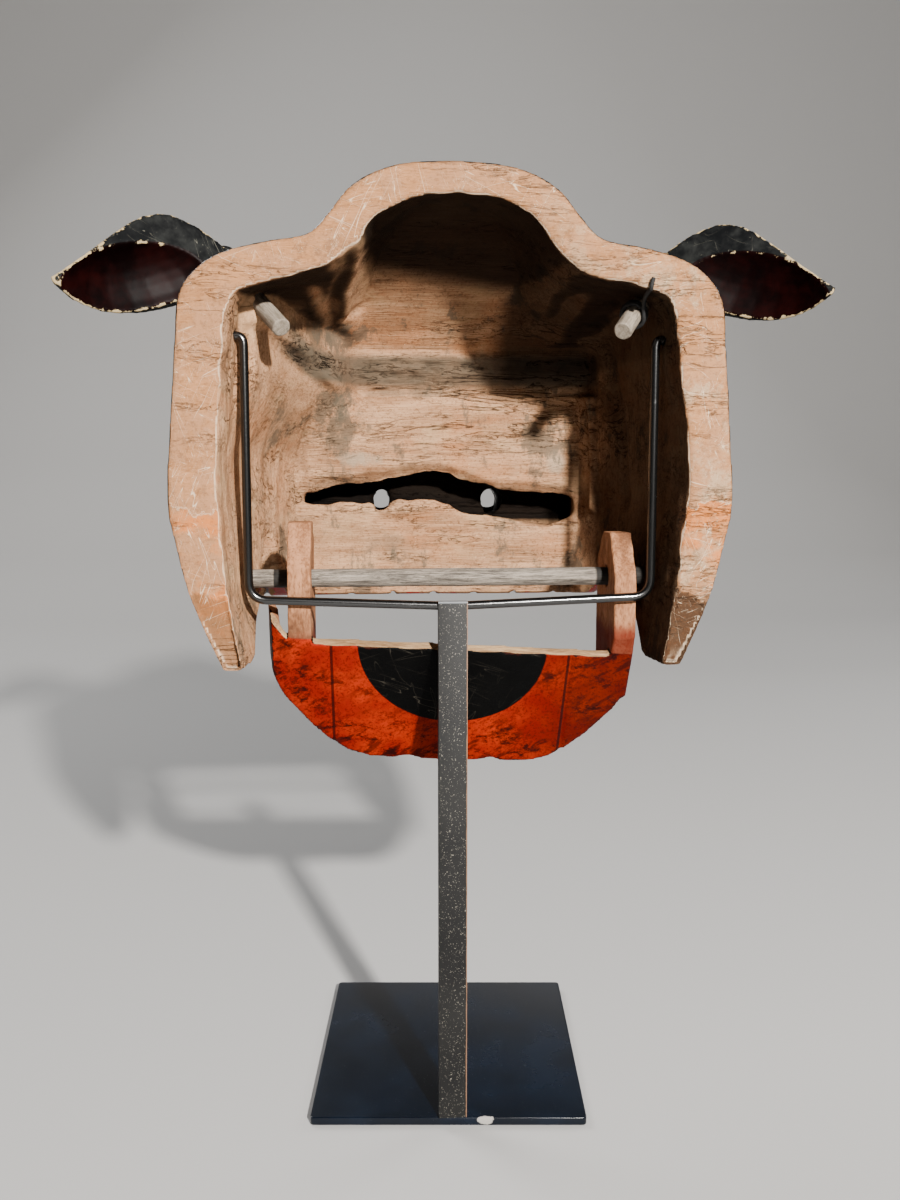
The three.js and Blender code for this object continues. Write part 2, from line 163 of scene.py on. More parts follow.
def points_of(mesh):
    """Every vertex and its normal, in millimetres and as unit vectors"""
    places = np.empty(len(mesh.vertices) * 3)
    mesh.vertices.foreach_get("co", places)
    normals = np.empty(len(mesh.vertices) * 3)
    mesh.vertex_normals.foreach_get("vector", normals)
    return places.reshape(-1, 3) * 1000.0, normals.reshape(-1, 3)


def move_points(mesh, places):
    mesh.vertices.foreach_set("co", (places / 1000.0).ravel())
    mesh.update()


def spread(mesh, values, passes):
    """Values at the vertices, evened out with their neighbours'"""
    ends = np.empty(len(mesh.edges) * 2, dtype=int)
    mesh.edges.foreach_get("vertices", ends)
    one, other = ends.reshape(-1, 2).T
    size = len(mesh.vertices)
    count = np.maximum(np.bincount(ends, minlength=size), 1)
    for _ in range(passes):
        total = np.bincount(one, values[other], size) + np.bincount(other, values[one], size)
        values = 0.5 * values + 0.5 * total / count
    return values


def convexity(mesh, pitch):
    """How far each vertex stands proud of its neighbours: 1 on a sharp edge, 0 on a flat, below 0 in a corner"""
    places, normals = points_of(mesh)
    hollow = np.stack([spread(mesh, places[:, i], 2) for i in range(3)], axis=1) - places
    return -np.einsum("ij,ij->i", hollow, normals) / (pitch * 250.0)


def mark(mesh, name, values):
    """A named value at each vertex for the material to read"""
    layer = mesh.attributes.new(name, "FLOAT", "POINT")
    layer.data.foreach_set("value", np.clip(values, 0.0, 1.0).astype(np.float32))


def ramp(values, low, high):
    """0 below low, 1 above high and smooth between"""
    t = np.clip((values - low) / (high - low), 0.0, 1.0)
    return t * t * (3.0 - 2.0 * t)


def ripple(places, size, seed=0.0):
    """Smooth noise between -1 and 1 at points in millimetres; size is its length along X, Y and Z"""
    scaled = places / np.array(size) + seed
    return np.array([noise.noise(p) for p in scaled.tolist()])


def gouge(places, size, seed=0.0):
    """Shallow scoops side by side: 0 at a scoop's middle, about 1 on the ridges between"""
    scaled = places / np.array(size) + seed
    found = np.array([noise.voronoi(p)[0][:2] for p in scaled.tolist()])
    return 1.0 - np.clip((found[:, 1] - found[:, 0]) * 1.6, 0.0, 1.0)


HEAD_PITCH = 0.0021
HEAD_FACES = 190000
RIM_Y = -123.0
TOOTH_PITCH = 33.0
SLOT_BEVEL = 6.5
TOOTH_SHIFT = -4.9
LEDGE = {"y": 33.0, "z": 546.0, "radius": 12.0}
CROWN_ROOF = ((-123, -80, -50, -20, 0, 16, 26, 40), (648, 638, 627, 604, 588, 574, 560, 540))
LEFT_CORNER = ((-128, -120, -113, -105, -95, -85, -70, -55), (-90, -72, -56, -38, -18, 0, 20, 44))
SHOULDER_ROOF = ((-123, -108, -82, -62, -40, -20, 0, 20, 40), (602, 596, 590, 585, 580, 575, 569, 561, 552))
FACE_FORMS = {
    "knob": {"at": (0, 20, 610), "size": (34, 50, 34)},
    "brow": {"at": (56, 74, 496), "size": (46, 34, 18)},
    "eye": {"at": (46, 82, 449), "size": (31, 32, 27)},
    "nose tip": {"at": (0, 88, 417), "size": (26, 35, 24)},
    "nose ridge": {"at": (0, 76, 458), "size": (15, 32, 46)},
    "nose wing": {"at": (33, 86, 412), "size": (27, 31, 19)},
}


def on_form(places, form, inside, outside):
    """1 on a raised form of the face, on both sides of the head, fading out just outside it"""
    mirrored = np.abs(places) * (1.0, 0.0, 0.0) + places * (0.0, 1.0, 1.0)
    apart = (mirrored - np.array(form["at"])) / np.array(form["size"])
    return 1.0 - ramp(np.linalg.norm(apart, axis=1), inside, outside)


def plane_down(mesh, weight, passes):
    """The surface evened out as with a plane and paper, where weight says"""
    places = points_of(mesh)[0]
    for _ in range(passes):
        evened = np.stack([spread(mesh, places[:, i], 1) for i in range(3)], axis=1)
        places += (evened - places) * weight[:, None]
    move_points(mesh, places)


def thin_out(piece, faces):
    """Fewer, longer triangles where the surface is flat, down to that many in all"""
    count = sum(len(face.vertices) - 2 for face in piece.data.polygons)
    fewer = piece.modifiers.new("fewer_faces", "DECIMATE")
    fewer.ratio = min(1.0, faces / count)
    bpy.context.view_layer.update()
    seen = piece.evaluated_get(bpy.context.evaluated_depsgraph_get())
    mesh = bpy.data.meshes.new_from_object(seen)
    piece.modifiers.clear()
    mesh.name = piece.data.name
    piece.data = mesh
    mesh.shade_smooth()


def head_regions(places, normals):
    """How much each point belongs to the lacquered outside, the sawn rim, the bare hollow and the ledge"""
    from_axis = places - np.array([0.0, 0.0, 480.0])
    from_axis[:, 1] = np.maximum(places[:, 1] + 10.0, 0.0)
    outward = np.einsum("ij,ij->i", normals, from_axis / np.linalg.norm(from_axis, axis=1)[:, None])
    rim = ramp(-normals[:, 1], 0.55, 0.85) * ramp(-places[:, 1], 112.0, 118.0)
    skin = ramp(outward, 0.0, 0.25)
    front = places[:, 1] > 62.0
    skin = np.where(front, np.maximum(skin, ramp(normals[:, 1], -0.2, 0.2)), skin)
    across, level = np.abs(places[:, 0]), places[:, 2]
    in_slot = (across < 112.0) & (places[:, 1] < 79.0) & (np.abs(level - 462.0) < 38.0)
    on_ledge = (across < 105.0) & (places[:, 1] < 44.0) & (np.abs(level - 551.0) < 16.0)
    skin = np.where(in_slot | on_ledge, 0.0, skin) * (1.0 - rim)
    bare = 1.0 - np.clip(skin + rim, 0.0, 1.0)
    from_ledge = np.abs(level - LEDGE["z"] - 0.8 * np.clip(-95.0 - places[:, 0], 0.0, 40.0))
    reached = np.where(places[:, 0] < -60.0, ramp(places[:, 1], -66.0, -34.0), ramp(places[:, 1], 4.0, 16.0))
    ledge = bare * ramp(15.0 - from_ledge, 0.0, 7.0) * reached
    return skin, rim, bare, ledge


CARVED_LINES = [
    {"at": [(-75, -7, 582), (-45, 2, 605), (-3, 16, 608), (38, 10, 603), (76, 16, 566)], "wide": 8.0, "proud": -3.0},
    {"at": [(-66, -114, 616), (-72, -60, 603), (-75, -8, 583)], "wide": 13.0, "proud": 4.5},
    {"at": [(-76, -112, 606), (-80, -52, 595), (-83, -6, 575)], "wide": 7.0, "proud": -4.0},
    {"at": [(-129, -43, 575), (-118, 9, 558), (-100, 22, 553), (-81, 24, 558)], "wide": 11.0, "proud": -3.5},
    {"at": [(-133, -43, 560), (-125, -3, 545), (-110, 31, 532)], "wide": 6.0, "proud": 3.5},
    {"at": [(-111, 31, 530), (-110, 40, 493), (-108, 40, 456)], "wide": 6.0, "proud": -2.0},
    {"at": [(117, 20, 540), (121, 21, 501), (124, 20, 440)], "wide": 7.0, "proud": 5.0},
    {"at": [(127, -8, 552), (133, -16, 507), (137, -22, 450)], "wide": 16.0, "proud": -4.0},
    {"at": [(-136, -70, 570), (-134, -40, 500), (-134, -45, 430)], "wide": 9.0, "proud": -2.5},
]


def carve_line(places, stops, wide, proud):
    """A rounded ridge, or a groove where proud is negative, along a line through stops"""
    stops = np.array(stops, dtype=float)
    nearest = np.full(len(places), 1e9)
    for start, end in zip(stops, stops[1:]):
        run = end - start
        share = np.clip((places - start) @ run / (run @ run), 0.0, 1.0)
        nearest = np.minimum(nearest, np.linalg.norm(places - start - share[:, None] * run, axis=1))
    return proud * (1.0 - ramp(nearest, 0.0, wide)) ** 1.5


head = even_copy("head_shell", "head_carving", HEAD_PITCH, 5)
place, normal = points_of(head.data)
skin, rim, bare, ledge = head_regions(place, normal)
forms = np.max([on_form(place, form, 1.04, 1.16) for form in FACE_FORMS.values()], axis=0)
smooth_skin = skin * ramp(place[:, 1], -118.0, -108.0) * ramp(place[:, 2], 384.0, 392.0)
plane_down(head.data, smooth_skin * (1.0 - forms), 50)
plane_down(head.data, smooth_skin, 8)
place, normal = points_of(head.data)
side_wall = ramp(np.abs(normal[:, 0]), 0.6, 0.85)
back_wall = ramp(-normal[:, 1], 0.6, 0.85)
ceiling = ramp(-normal[:, 2], 0.35, 0.7)

# carving marks: broad waves, upright flutes on the side walls, shallow scoops on the back wall
depth = bare * 2.6 * ripple(place, (58, 50, 44), 3.1)
depth += bare * side_wall * (1.3 * gouge(place, (30, 24, 62), 7.7) + 0.8 * ripple(place, (16, 9, 40), 2.0))
depth += bare * back_wall * 0.8 * gouge(place, (38, 30, 20), 4.7)
depth += bare * ceiling * 1.2 * gouge(place, (26, 34, 30), 1.9)
nose_panel = bare * back_wall * ramp(446.0 - place[:, 2], 0.0, 8.0) * ramp(place[:, 1], 10.0, 24.0)
depth += nose_panel * 1.0 * gouge(place, (22, 30, 80), 2.4)
near_rim = bare * ramp(-place[:, 1], 84.0, 112.0)
depth += near_rim * (1.2 * ripple(place, (17, 30, 17), 8.3) + 0.5 * ripple(place, (7, 14, 7), 3.9))
for line in CARVED_LINES:
    depth += bare * carve_line(place, line["at"], line["wide"], line["proud"])
depth += rim * 0.45 * ripple(place, (30, 30, 22), 9.0)
depth += skin * 0.35 * ripple(place, (24, 24, 24), 4.4)
hair = np.abs(np.sin((np.abs(place[:, 0]) * 0.9 + place[:, 2] * 0.35) * math.pi / 6.5))
depth -= skin * on_form(place, FACE_FORMS["brow"], 1.0, 1.1) * 1.1 * (1.0 - ramp(hair, 0.0, 0.45))

depth *= 1.0 - bare * ramp(378.0 - place[:, 2], 0.0, 20.0)
moved = place + normal * depth[:, None]

# the ledge is split rather than cut: it slopes out from the wall in torn fibres with cracks between
shelf = LEDGE["y"] - 11.5 + np.clip(moved[:, 2] - LEDGE["z"] - 4.0, 0.0, None) * 0.33
shelf += 1.2 * ripple(place, (26, 40, 9), 3.3)
on_shelf = bare * ramp(25.0 - np.abs(place[:, 2] - LEDGE["z"] - 24.0), 0.0, 6.0) * ramp(place[:, 1], 10.0, 16.0)
moved[:, 1] -= on_shelf * np.clip(moved[:, 1] - shelf, 0.0, 20.0)

# the ceiling comes down to the ledge in a curve, higher under the crown than under the shoulders
under_crown = 1.0 - ramp(np.abs(place[:, 0]), 52.0, 98.0)
above_ledge = bare * ramp(place[:, 2], 552.0, 566.0) * ramp(118.0 + place[:, 1], 0.0, 12.0)
drop = np.zeros(len(moved))
for _ in range(8):
    depth = moved[:, 1] - drop
    roof = under_crown * np.interp(depth, *CROWN_ROOF) + (1.0 - under_crown) * np.interp(depth, *SHOULDER_ROOF)
    drop = np.clip(drop + (moved[:, 2] - drop - roof) * 0.5, 0.0, 40.0)
moved -= (above_ledge * drop)[:, None] * (0.0, 1.0, 1.0)

# the left end of the ledge is scooped out in one wide curve with the side wall
step = 530.0 + 0.8 * np.clip(-95.0 - place[:, 0], 0.0, 40.0) + 3.0 * ripple(place, (26, 26, 60), 7.4)
in_corner = 0.76 * ramp(place[:, 2], 478.0, 540.0) + 0.24 * ramp(place[:, 2] - step, -2.0, 5.0)
in_corner *= bare * ramp(-place[:, 0], 52.0, 66.0) * ramp(place[:, 1], -112.0, -96.0)
drop = np.zeros(len(moved))
for _ in range(8):
    behind = moved[:, 1] - drop - np.interp(moved[:, 0] + drop * 0.5, *LEFT_CORNER)
    drop = np.clip(drop + behind * 0.4, 0.0, 45.0)
moved += (in_corner * drop)[:, None] * (0.5, -1.0, 0.0)
torn = LEDGE["z"] - 16.0 + 5.0 * ripple(place, (40, 60, 60), 4.8) + 2.5 * ripple(place, (13, 60, 60), 9.4)
slope = 40.0 - np.clip(moved[:, 2] - torn, 0.0, 26.0) * 0.58
on_slope = bare * ramp(moved[:, 0], -80.0, -64.0) * ramp(20.0 - np.abs(place[:, 2] - LEDGE["z"]), 0.0, 4.0) * ramp(place[:, 1], 6.0, 12.0)
moved[:, 1] += on_slope * np.clip(slope - moved[:, 1], 0.0, 20.0)
split = 1.6 * ripple(place, (60, 14, 7.0), 1.3) + 1.0 * ripple(place, (24, 9, 4.4), 5.2)
split -= 2.6 * ramp(0.07 - np.abs(ripple(place, (64, 26, 9.0), 6.6)), 0.0, 0.07)
split -= 1.8 * ramp(0.06 - np.abs(ripple(place, (30, 26, 6.0), 2.9)), 0.0, 0.06)
moved[:, 1] -= ledge * split * ramp(LEDGE["z"] + 13.0 - place[:, 2], 0.0, 8.0)

# the eye slot: deeper than it is wide, under a torn and wavy lip
slot = bare * ramp(place[:, 2], 424.0, 430.0) * ramp(496.0 - place[:, 2], 0.0, 6.0) * ramp(place[:, 1], 38.0, 42.0)
moved[:, 2] += slot * (2.2 * ripple(place, (19, 40, 60), 2.2) + 1.2 * ripple(place, (7, 40, 40), 7.1))
moved[:, 1] += slot * np.clip(place[:, 1] - 45.0, 0.0, 17.0) * 0.7
moved[:, 2] -= slot * ramp(normal[:, 2], 0.3, 0.7) * np.clip(place[:, 1] - 42.0, 0.0, 30.0) * 0.3
roof = np.flatnonzero((bare > 0.5) & (normal[:, 2] < -0.7) & (slot > 0.5) & (np.abs(place[:, 1] - 52.0) < 6.0))
roof = roof[np.argsort(place[roof, 0])]
lip = np.interp(place[:, 0], place[roof, 0], np.convolve(place[roof, 2], np.ones(25) / 25.0, mode="same"))
above = place[:, 2] - lip
torn = SLOT_BEVEL + 2.0 * ripple(place, (21, 60, 60), 5.5) + 1.2 * ripple(place, (8, 60, 60), 2.7)
bevel = 39.0 + np.clip(torn - above, 0.0, torn + 1.0) * 1.15 + 0.9 * ripple(place, (30, 6, 4), 8.1)
on_bevel = bare * ramp(above, -3.0, -1.5) * ramp(torn - above, 0.0, 1.5) * ramp(110.0 - np.abs(place[:, 0] - 6.0), 0.0, 8.0)
on_bevel *= ramp(place[:, 1], 34.0, 37.0)
moved[:, 1] += on_bevel * np.clip(bevel - moved[:, 1], 0.0, 12.0)

# the sawn back: flat above, falling away below the jaw rod on both legs
below = np.clip(397.0 - 18.0 + 0.12 * np.abs(place[:, 0]) - place[:, 2], 0.0, None)
moved[:, 1] += rim * (0.10 * below + 0.04 * np.clip(446.0 - place[:, 2], 0.0, 50.0))
from_gap = np.abs((place[:, 0] - TOOTH_SHIFT + TOOTH_PITCH / 2) % TOOTH_PITCH - TOOTH_PITCH / 2)
teeth = skin * ramp(382.0 - place[:, 2], 0.0, 3.0) * ramp(place[:, 1], 8.0, 20.0)
moved -= normal * (teeth * ramp(3.2 - from_gap, 0.0, 2.4) * 2.4)[:, None]
moved[:, 1] = np.clip(moved[:, 1], RIM_Y, 123.0)
move_points(head.data, moved)
joint = bare * ramp(38.0 - np.abs(place[:, 0] + 86.0), 0.0, 14.0) * ramp(36.0 - np.abs(place[:, 2] - 540.0), 0.0, 14.0)
plane_down(head.data, joint * ramp(place[:, 1], -70.0, -40.0), 16)
thin_out(head, HEAD_FACES)

place, normal = points_of(head.data)
skin, rim, bare, ledge = head_regions(place, normal)
edge = convexity(head.data, HEAD_PITCH)
from_gap = np.abs((place[:, 0] - TOOTH_SHIFT + TOOTH_PITCH / 2) % TOOTH_PITCH - TOOTH_PITCH / 2)
teeth = ramp(382.0 - place[:, 2], 0.0, 3.0) * ramp(place[:, 1], 8.0, 20.0)
mark(head.data, "skin", spread(head.data, skin, 1))
mark(head.data, "rim", rim)
mark(head.data, "ledge", ledge)
# the ceiling mark guides the painted shade on the hollow's ceiling
mark(head.data, "ceiling", spread(head.data, bare * ramp(-normal[:, 2], 0.7, 0.92), 3))
mark(head.data, "worn_edge", spread(head.data, np.clip(edge, 0.0, 1.0), 1))
# the cavity mark guides the painted shade in creases
mark(head.data, "cavity", spread(head.data, np.clip(-edge * 1.6, 0.0, 1.0), 4))
mark(head.data, "tooth_gap", teeth * ramp(3.4 - from_gap, 0.0, 2.0))


def mix(tree, mask, low, high):
    """One colour over another by a mask"""
    return add_node(tree, "Mix", {0: mask, 6: low, 7: high}, data_type="RGBA").outputs[2]


def maths(tree, operation, one, other=0.0, clamp=False):
    return add_node(tree, "Math", {0: one, 1: other}, operation=operation, use_clamp=clamp).outputs[0]


def fade(tree, value, low, high):
    """0 to 1, smoothly, as value goes from low to high"""
    feeds = {"Value": value, "From Min": low, "From Max": high}
    return add_node(tree, "MapRange", feeds, interpolation_type="SMOOTHSTEP").outputs[0]


def speckle(tree, where, stretch, detail=4.0, rough=0.6, twist=0.0):
    """Noise with that many waves a metre along each axis"""
    scaled = add_node(tree, "VectorMath", {0: where, 1: stretch}, operation="MULTIPLY").outputs[0]
    feeds = {"Vector": scaled, "Scale": 1.0, "Detail": detail, "Roughness": rough, "Distortion": twist}
    return add_node(tree, "TexNoise", feeds).outputs["Fac"]


def start_effect(name, inputs, outputs):
    """A node group with named sockets; its inputs and outputs nodes come back with it"""
    group = bpy.data.node_groups.new(name, "ShaderNodeTree")
    for label, kind in inputs.items():
        group.interface.new_socket(label, in_out="INPUT", socket_type="NodeSocket" + kind)
    for label, kind in outputs.items():
        group.interface.new_socket(label, in_out="OUTPUT", socket_type="NodeSocket" + kind)
    given = group.nodes.new("NodeGroupInput").outputs
    wanted = group.nodes.new("NodeGroupOutput").inputs
    return group, given, wanted


def timber_grain():
    """Long grain: broad bands, fine streaks and pores, running along the least stretched axis"""
    sockets = {"Place": "Vector", "Stretch": "Vector", "Pale": "Color", "Deep": "Color"}
    group, given, wanted = start_effect("timber_grain", sockets, {"Color": "Color", "Height": "Float"})
    scaled = add_node(group, "VectorMath", {0: given["Place"], 1: given["Stretch"]}, operation="MULTIPLY").outputs[0]
    bands = speckle(group, scaled, (1.0, 1.0, 1.0), 3.0, 0.5, 0.4)
    streaks = speckle(group, scaled, (2.2, 5.0, 5.0), 5.0, 0.7)
    fibres = speckle(group, scaled, (6.0, 19.0, 19.0), 3.0, 0.6)
    tone = maths(group, "ADD", maths(group, "MULTIPLY", bands, 0.36), maths(group, "MULTIPLY", streaks, 0.34))
    tone = maths(group, "ADD", tone, maths(group, "MULTIPLY", fibres, 0.3))
    pits = fade(group, fibres, 0.36, 0.44)
    colour = mix(group, fade(group, tone, 0.37, 0.62), given["Deep"], given["Pale"])
    pitted = mix(group, 0.55, colour, given["Deep"])
    group.links.new(mix(group, pits, pitted, colour), wanted["Color"])
    height = maths(group, "ADD", maths(group, "MULTIPLY", streaks, 0.5), maths(group, "MULTIPLY", fibres, 0.5))
    group.links.new(height, wanted["Height"])
    return group


def drying_cracks():
    """Dark hairline checks along the grain, here and there"""
    sockets = {"Place": "Vector", "Stretch": "Vector", "Amount": "Float"}
    group, given, wanted = start_effect("drying_cracks", sockets, {"Mask": "Float"})
    scaled = add_node(group, "VectorMath", {0: given["Place"], 1: given["Stretch"]}, operation="MULTIPLY").outputs[0]
    sheet = speckle(group, scaled, (1.0, 1.0, 1.0), 5.0, 0.6, 0.8)
    line = maths(group, "ABSOLUTE", maths(group, "SUBTRACT", sheet, 0.5))
    gate = fade(group, speckle(group, scaled, (0.3, 0.22, 0.22), 2.0, 0.5), 0.52, 0.62)
    thin = maths(group, "SUBTRACT", 1.0, fade(group, line, 0.0, 0.016))
    mask = maths(group, "MULTIPLY", maths(group, "MULTIPLY", thin, gate), given["Amount"], True)
    group.links.new(mask, wanted["Mask"])
    return group


SCRATCH_TURNS = (0.35, 1.15, 1.9, 2.75)


def light_scratches():
    """Pale straight hairlines in loose clusters, in a few directions across the XZ plane"""
    sockets = {"Place": "Vector", "Scale": "Float", "Amount": "Float"}
    group, given, wanted = start_effect("light_scratches", sockets, {"Mask": "Float"})
    where = add_node(group, "VectorMath", {0: given["Place"], 3: given["Scale"]}, operation="SCALE").outputs[0]
    every = 0.0
    for turn in SCRATCH_TURNS:
        turned = add_node(group, "VectorRotate", {"Vector": where, "Angle": turn}, rotation_type="Y_AXIS").outputs[0]
        sheet = speckle(group, turned, (0.06, 0.3, 0.8), 2.0, 0.5, 0.35)
        line = maths(group, "ABSOLUTE", maths(group, "SUBTRACT", sheet, 0.5))
        thin = maths(group, "SUBTRACT", 1.0, fade(group, line, 0.0, 0.0048))
        gate = fade(group, speckle(group, turned, (0.13, 0.2, 0.16), 3.0, 0.6), 0.53, 0.6)
        every = maths(group, "MAXIMUM", every, maths(group, "MULTIPLY", thin, gate))
    group.links.new(maths(group, "MULTIPLY", every, given["Amount"], True), wanted["Mask"])
    return group


def chipped():
    """Where a coat has chipped off: edges first, in ragged flakes"""
    sockets = {"Place": "Vector", "Edge": "Float", "Flake": "Float", "Amount": "Float"}
    group, given, wanted = start_effect("chipped", sockets, {"Mask": "Float"})
    where = add_node(group, "VectorMath", {0: given["Place"], 3: given["Flake"]}, operation="SCALE").outputs[0]
    flakes = speckle(group, where, (1.0, 1.0, 1.0), 6.0, 0.7)
    reach = maths(group, "ADD", maths(group, "MULTIPLY", given["Edge"], 0.55), flakes)
    level = maths(group, "SUBTRACT", 1.0, maths(group, "MULTIPLY", given["Amount"], 0.5))
    high = maths(group, "ADD", level, 0.03)
    group.links.new(fade(group, reach, level, high), wanted["Mask"])
    return group


grain_effect = timber_grain()
crack_effect = drying_cracks()
scratch_effect = light_scratches()
chip_effect = chipped()


def use_effect(tree, group, **values):
    return add_node(tree, "Group", {k: v for k, v in values.items()}, node_tree=group).outputs


def attribute(tree, name):
    return add_node(tree, "Attribute", attribute_name=name).outputs["Fac"]


def object_place(tree):
    return add_node(tree, "TexCoord").outputs["Object"]


def set_height(tree, shader, height, strength, distance):
    bump = add_node(tree, "Bump", {"Height": height, "Strength": strength, "Distance": distance})
    tree.links.new(bump.outputs["Normal"], shader.inputs["Normal"])


def near(tree, where, form, inside, outside, two_sided=True):
    """1 in an ellipsoid, and in its twin on the other side of the head, fading out from inside to outside"""
    centre = tuple(v / 1000.0 for v in form["at"])
    size = tuple(v / 1000.0 for v in form["size"])
    if two_sided:
        where = add_node(tree, "VectorMath", {0: where}, operation="ABSOLUTE").outputs[0]
    apart = add_node(tree, "VectorMath", {0: where, 1: centre}, operation="SUBTRACT").outputs[0]
    scaled = add_node(tree, "VectorMath", {0: apart, 1: size}, operation="DIVIDE").outputs[0]
    length = add_node(tree, "VectorMath", {0: scaled}, operation="LENGTH").outputs["Value"]
    return maths(tree, "SUBTRACT", 1.0, fade(tree, length, inside, outside))


BARE_PALE = paint(174, 136, 104)
BARE_DEEP = paint(130, 94, 68)
LACQUER_BLACK = paint(12, 11, 11)
OLD_GOLD = paint(150, 104, 40)
GREY_STAIN = paint(84, 78, 66)
PALE_STAIN = paint(150, 140, 120)
# painted shade colour for the left shoulder scoop
SCOOP_SHADE = paint(92, 74, 58)
WALL_STAINS_AND_SHADE = [
    {"at": (-78, 36, 522), "size": (9, 40, 24), "colour": GREY_STAIN, "amount": 0.8},
    {"at": (-62, 40, 478), "size": (34, 40, 12), "colour": PALE_STAIN, "amount": 0.5},
    {"at": (94, 38, 474), "size": (14, 40, 18), "colour": PALE_STAIN, "amount": 0.45},
    {"at": (-40, 40, 412), "size": (40, 40, 16), "colour": GREY_STAIN, "amount": 0.35},
    {"at": (-124, -10, 500), "size": (60, 30, 40), "colour": GREY_STAIN, "amount": 0.15},
    {"at": (-20, 34, 530), "size": (80, 40, 8), "colour": GREY_STAIN, "amount": 0.5},
    # painted shade: the left shoulder scoop is darkened where it lies in half shadow
    {"at": (-104, -34, 566), "size": (44, 80, 34), "colour": SCOOP_SHADE, "amount": 0.95},
]

head_finish, tree, shader = new_material("carved_wood")
spot = object_place(tree)
skin_mark = attribute(tree, "skin")
rim_mark = attribute(tree, "rim")
ledge_mark = attribute(tree, "ledge")
edge_mark = attribute(tree, "worn_edge")
axes = add_node(tree, "SeparateXYZ", {0: spot}).outputs
across = use_effect(tree, grain_effect, Place=spot, Stretch=(9.0, 55.0, 80.0), Pale=BARE_PALE, Deep=BARE_DEEP)
upright = use_effect(tree, grain_effect, Place=spot, Stretch=(60.0, 26.0, 9.0), Pale=BARE_PALE, Deep=BARE_DEEP)
at_side = fade(tree, maths(tree, "ABSOLUTE", axes["X"]), 0.108, 0.128)
low_side = maths(tree, "MULTIPLY", at_side, maths(tree, "SUBTRACT", 1.0, fade(tree, axes["Z"], 0.56, 0.6)))
bare = mix(tree, low_side, across["Color"], upright["Color"])
# tone: orange where the wood is fresh, pale where it is rubbed, grey-green where hands or soot reached
drift = speckle(tree, spot, (13.0, 13.0, 19.0), 7.0, 0.68)
bare = mix(tree, maths(tree, "MULTIPLY", fade(tree, drift, 0.46, 0.66), 0.4), bare, paint(162, 102, 64))
stipple = speckle(tree, spot, (420.0, 420.0, 620.0), 4.0, 0.75)
bare = mix(tree, maths(tree, "MULTIPLY", fade(tree, stipple, 0.53, 0.6), 0.5), bare, paint(88, 58, 36))
dust = fade(tree, speckle(tree, spot, (700.0, 700.0, 900.0), 2.0, 0.6), 0.68, 0.72)
bare = mix(tree, maths(tree, "MULTIPLY", dust, 0.6), bare, paint(206, 176, 140))
rubbed = speckle(tree, spot, (20.0, 20.0, 34.0), 7.0, 0.7)
bare = mix(tree, maths(tree, "MULTIPLY", fade(tree, rubbed, 0.5, 0.66), 0.35), bare, paint(176, 146, 110))
smudged = speckle(tree, spot, (30.0, 26.0, 17.0), 8.0, 0.74)
soot = maths(tree, "MULTIPLY", fade(tree, smudged, 0.54, 0.61), 0.72)
soot = maths(tree, "MAXIMUM", soot, maths(tree, "MULTIPLY", ledge_mark, maths(tree, "ADD", rubbed, 0.35)))
# grey and pale stains on the walls, and painted shade in the left shoulder scoop
for patch in WALL_STAINS_AND_SHADE:
    blot = near(tree, spot, patch, 0.1, 1.1, two_sided=False)
    blot = fade(tree, maths(tree, "ADD", maths(tree, "MULTIPLY", blot, 0.34), smudged), 0.66, 0.86)
    bare = mix(tree, maths(tree, "MULTIPLY", blot, patch["amount"]), bare, patch["colour"])
hollow_wood = mix(tree, soot, bare, paint(80, 73, 62))
# painted shade: the ceiling, the right wall, the upper right and the top of the hollow are painted near black where
# they lie in shadow
right_side = fade(tree, maths(tree, "ADD", axes["X"], maths(tree, "MULTIPLY", drift, 0.04)), 0.12, 0.15)
painted_shade = maths(tree, "MAXIMUM", attribute(tree, "ceiling"), maths(tree, "MULTIPLY", right_side, 0.85))
upper_right = maths(tree, "ADD", axes["X"], maths(tree, "MULTIPLY", drift, 0.02))
upper_right = maths(tree, "MULTIPLY", fade(tree, upper_right, 0.042, 0.066), fade(tree, axes["Z"], 0.522, 0.55))
painted_shade = maths(tree, "MAXIMUM", painted_shade, maths(tree, "MULTIPLY", upper_right, 0.9))
painted_shade = maths(tree, "MAXIMUM", painted_shade, fade(tree, maths(tree, "ADD", axes["Z"], maths(tree, "MULTIPLY", axes["X"], 0.12)), 0.594, 0.612))
hollow_wood = mix(tree, maths(tree, "MULTIPLY", painted_shade, 0.96), hollow_wood, paint(11, 8, 6))
# painted shade: darker in the carved hollows and creases
crease_shade = maths(tree, "MULTIPLY", attribute(tree, "cavity"), fade(tree, smudged, 0.3, 0.5))
hollow_wood = mix(tree, maths(tree, "MULTIPLY", crease_shade, 0.7), hollow_wood, paint(44, 31, 22))
# painted shade: the inside of the eye slot, deep behind its lip, is painted near black
in_slot = maths(tree, "MULTIPLY", fade(tree, axes["Y"], 0.046, 0.056), fade(tree, axes["Z"], 0.425, 0.43))
hollow_wood = mix(tree, maths(tree, "MULTIPLY", in_slot, 0.985), hollow_wood, paint(4, 3, 2))
cracks = use_effect(tree, crack_effect, Place=spot, Stretch=(9.0, 60.0, 80.0), Amount=0.75)["Mask"]
hair_cracks = use_effect(tree, crack_effect, Place=spot, Stretch=(34.0, 160.0, 260.0), Amount=0.55)["Mask"]
cracks = maths(tree, "MAXIMUM", cracks, hair_cracks)
ledge_cracks = use_effect(tree, crack_effect, Place=spot, Stretch=(26.0, 90.0, 210.0), Amount=1.0)["Mask"]
long_cracks = use_effect(tree, crack_effect, Place=spot, Stretch=(13.0, 50.0, 130.0), Amount=1.0)["Mask"]
ledge_cracks = maths(tree, "MAXIMUM", ledge_cracks, long_cracks)
cracks = maths(tree, "MAXIMUM", cracks, maths(tree, "MULTIPLY", ledge_cracks, ledge_mark))
hollow_wood = mix(tree, cracks, hollow_wood, paint(24, 16, 10))
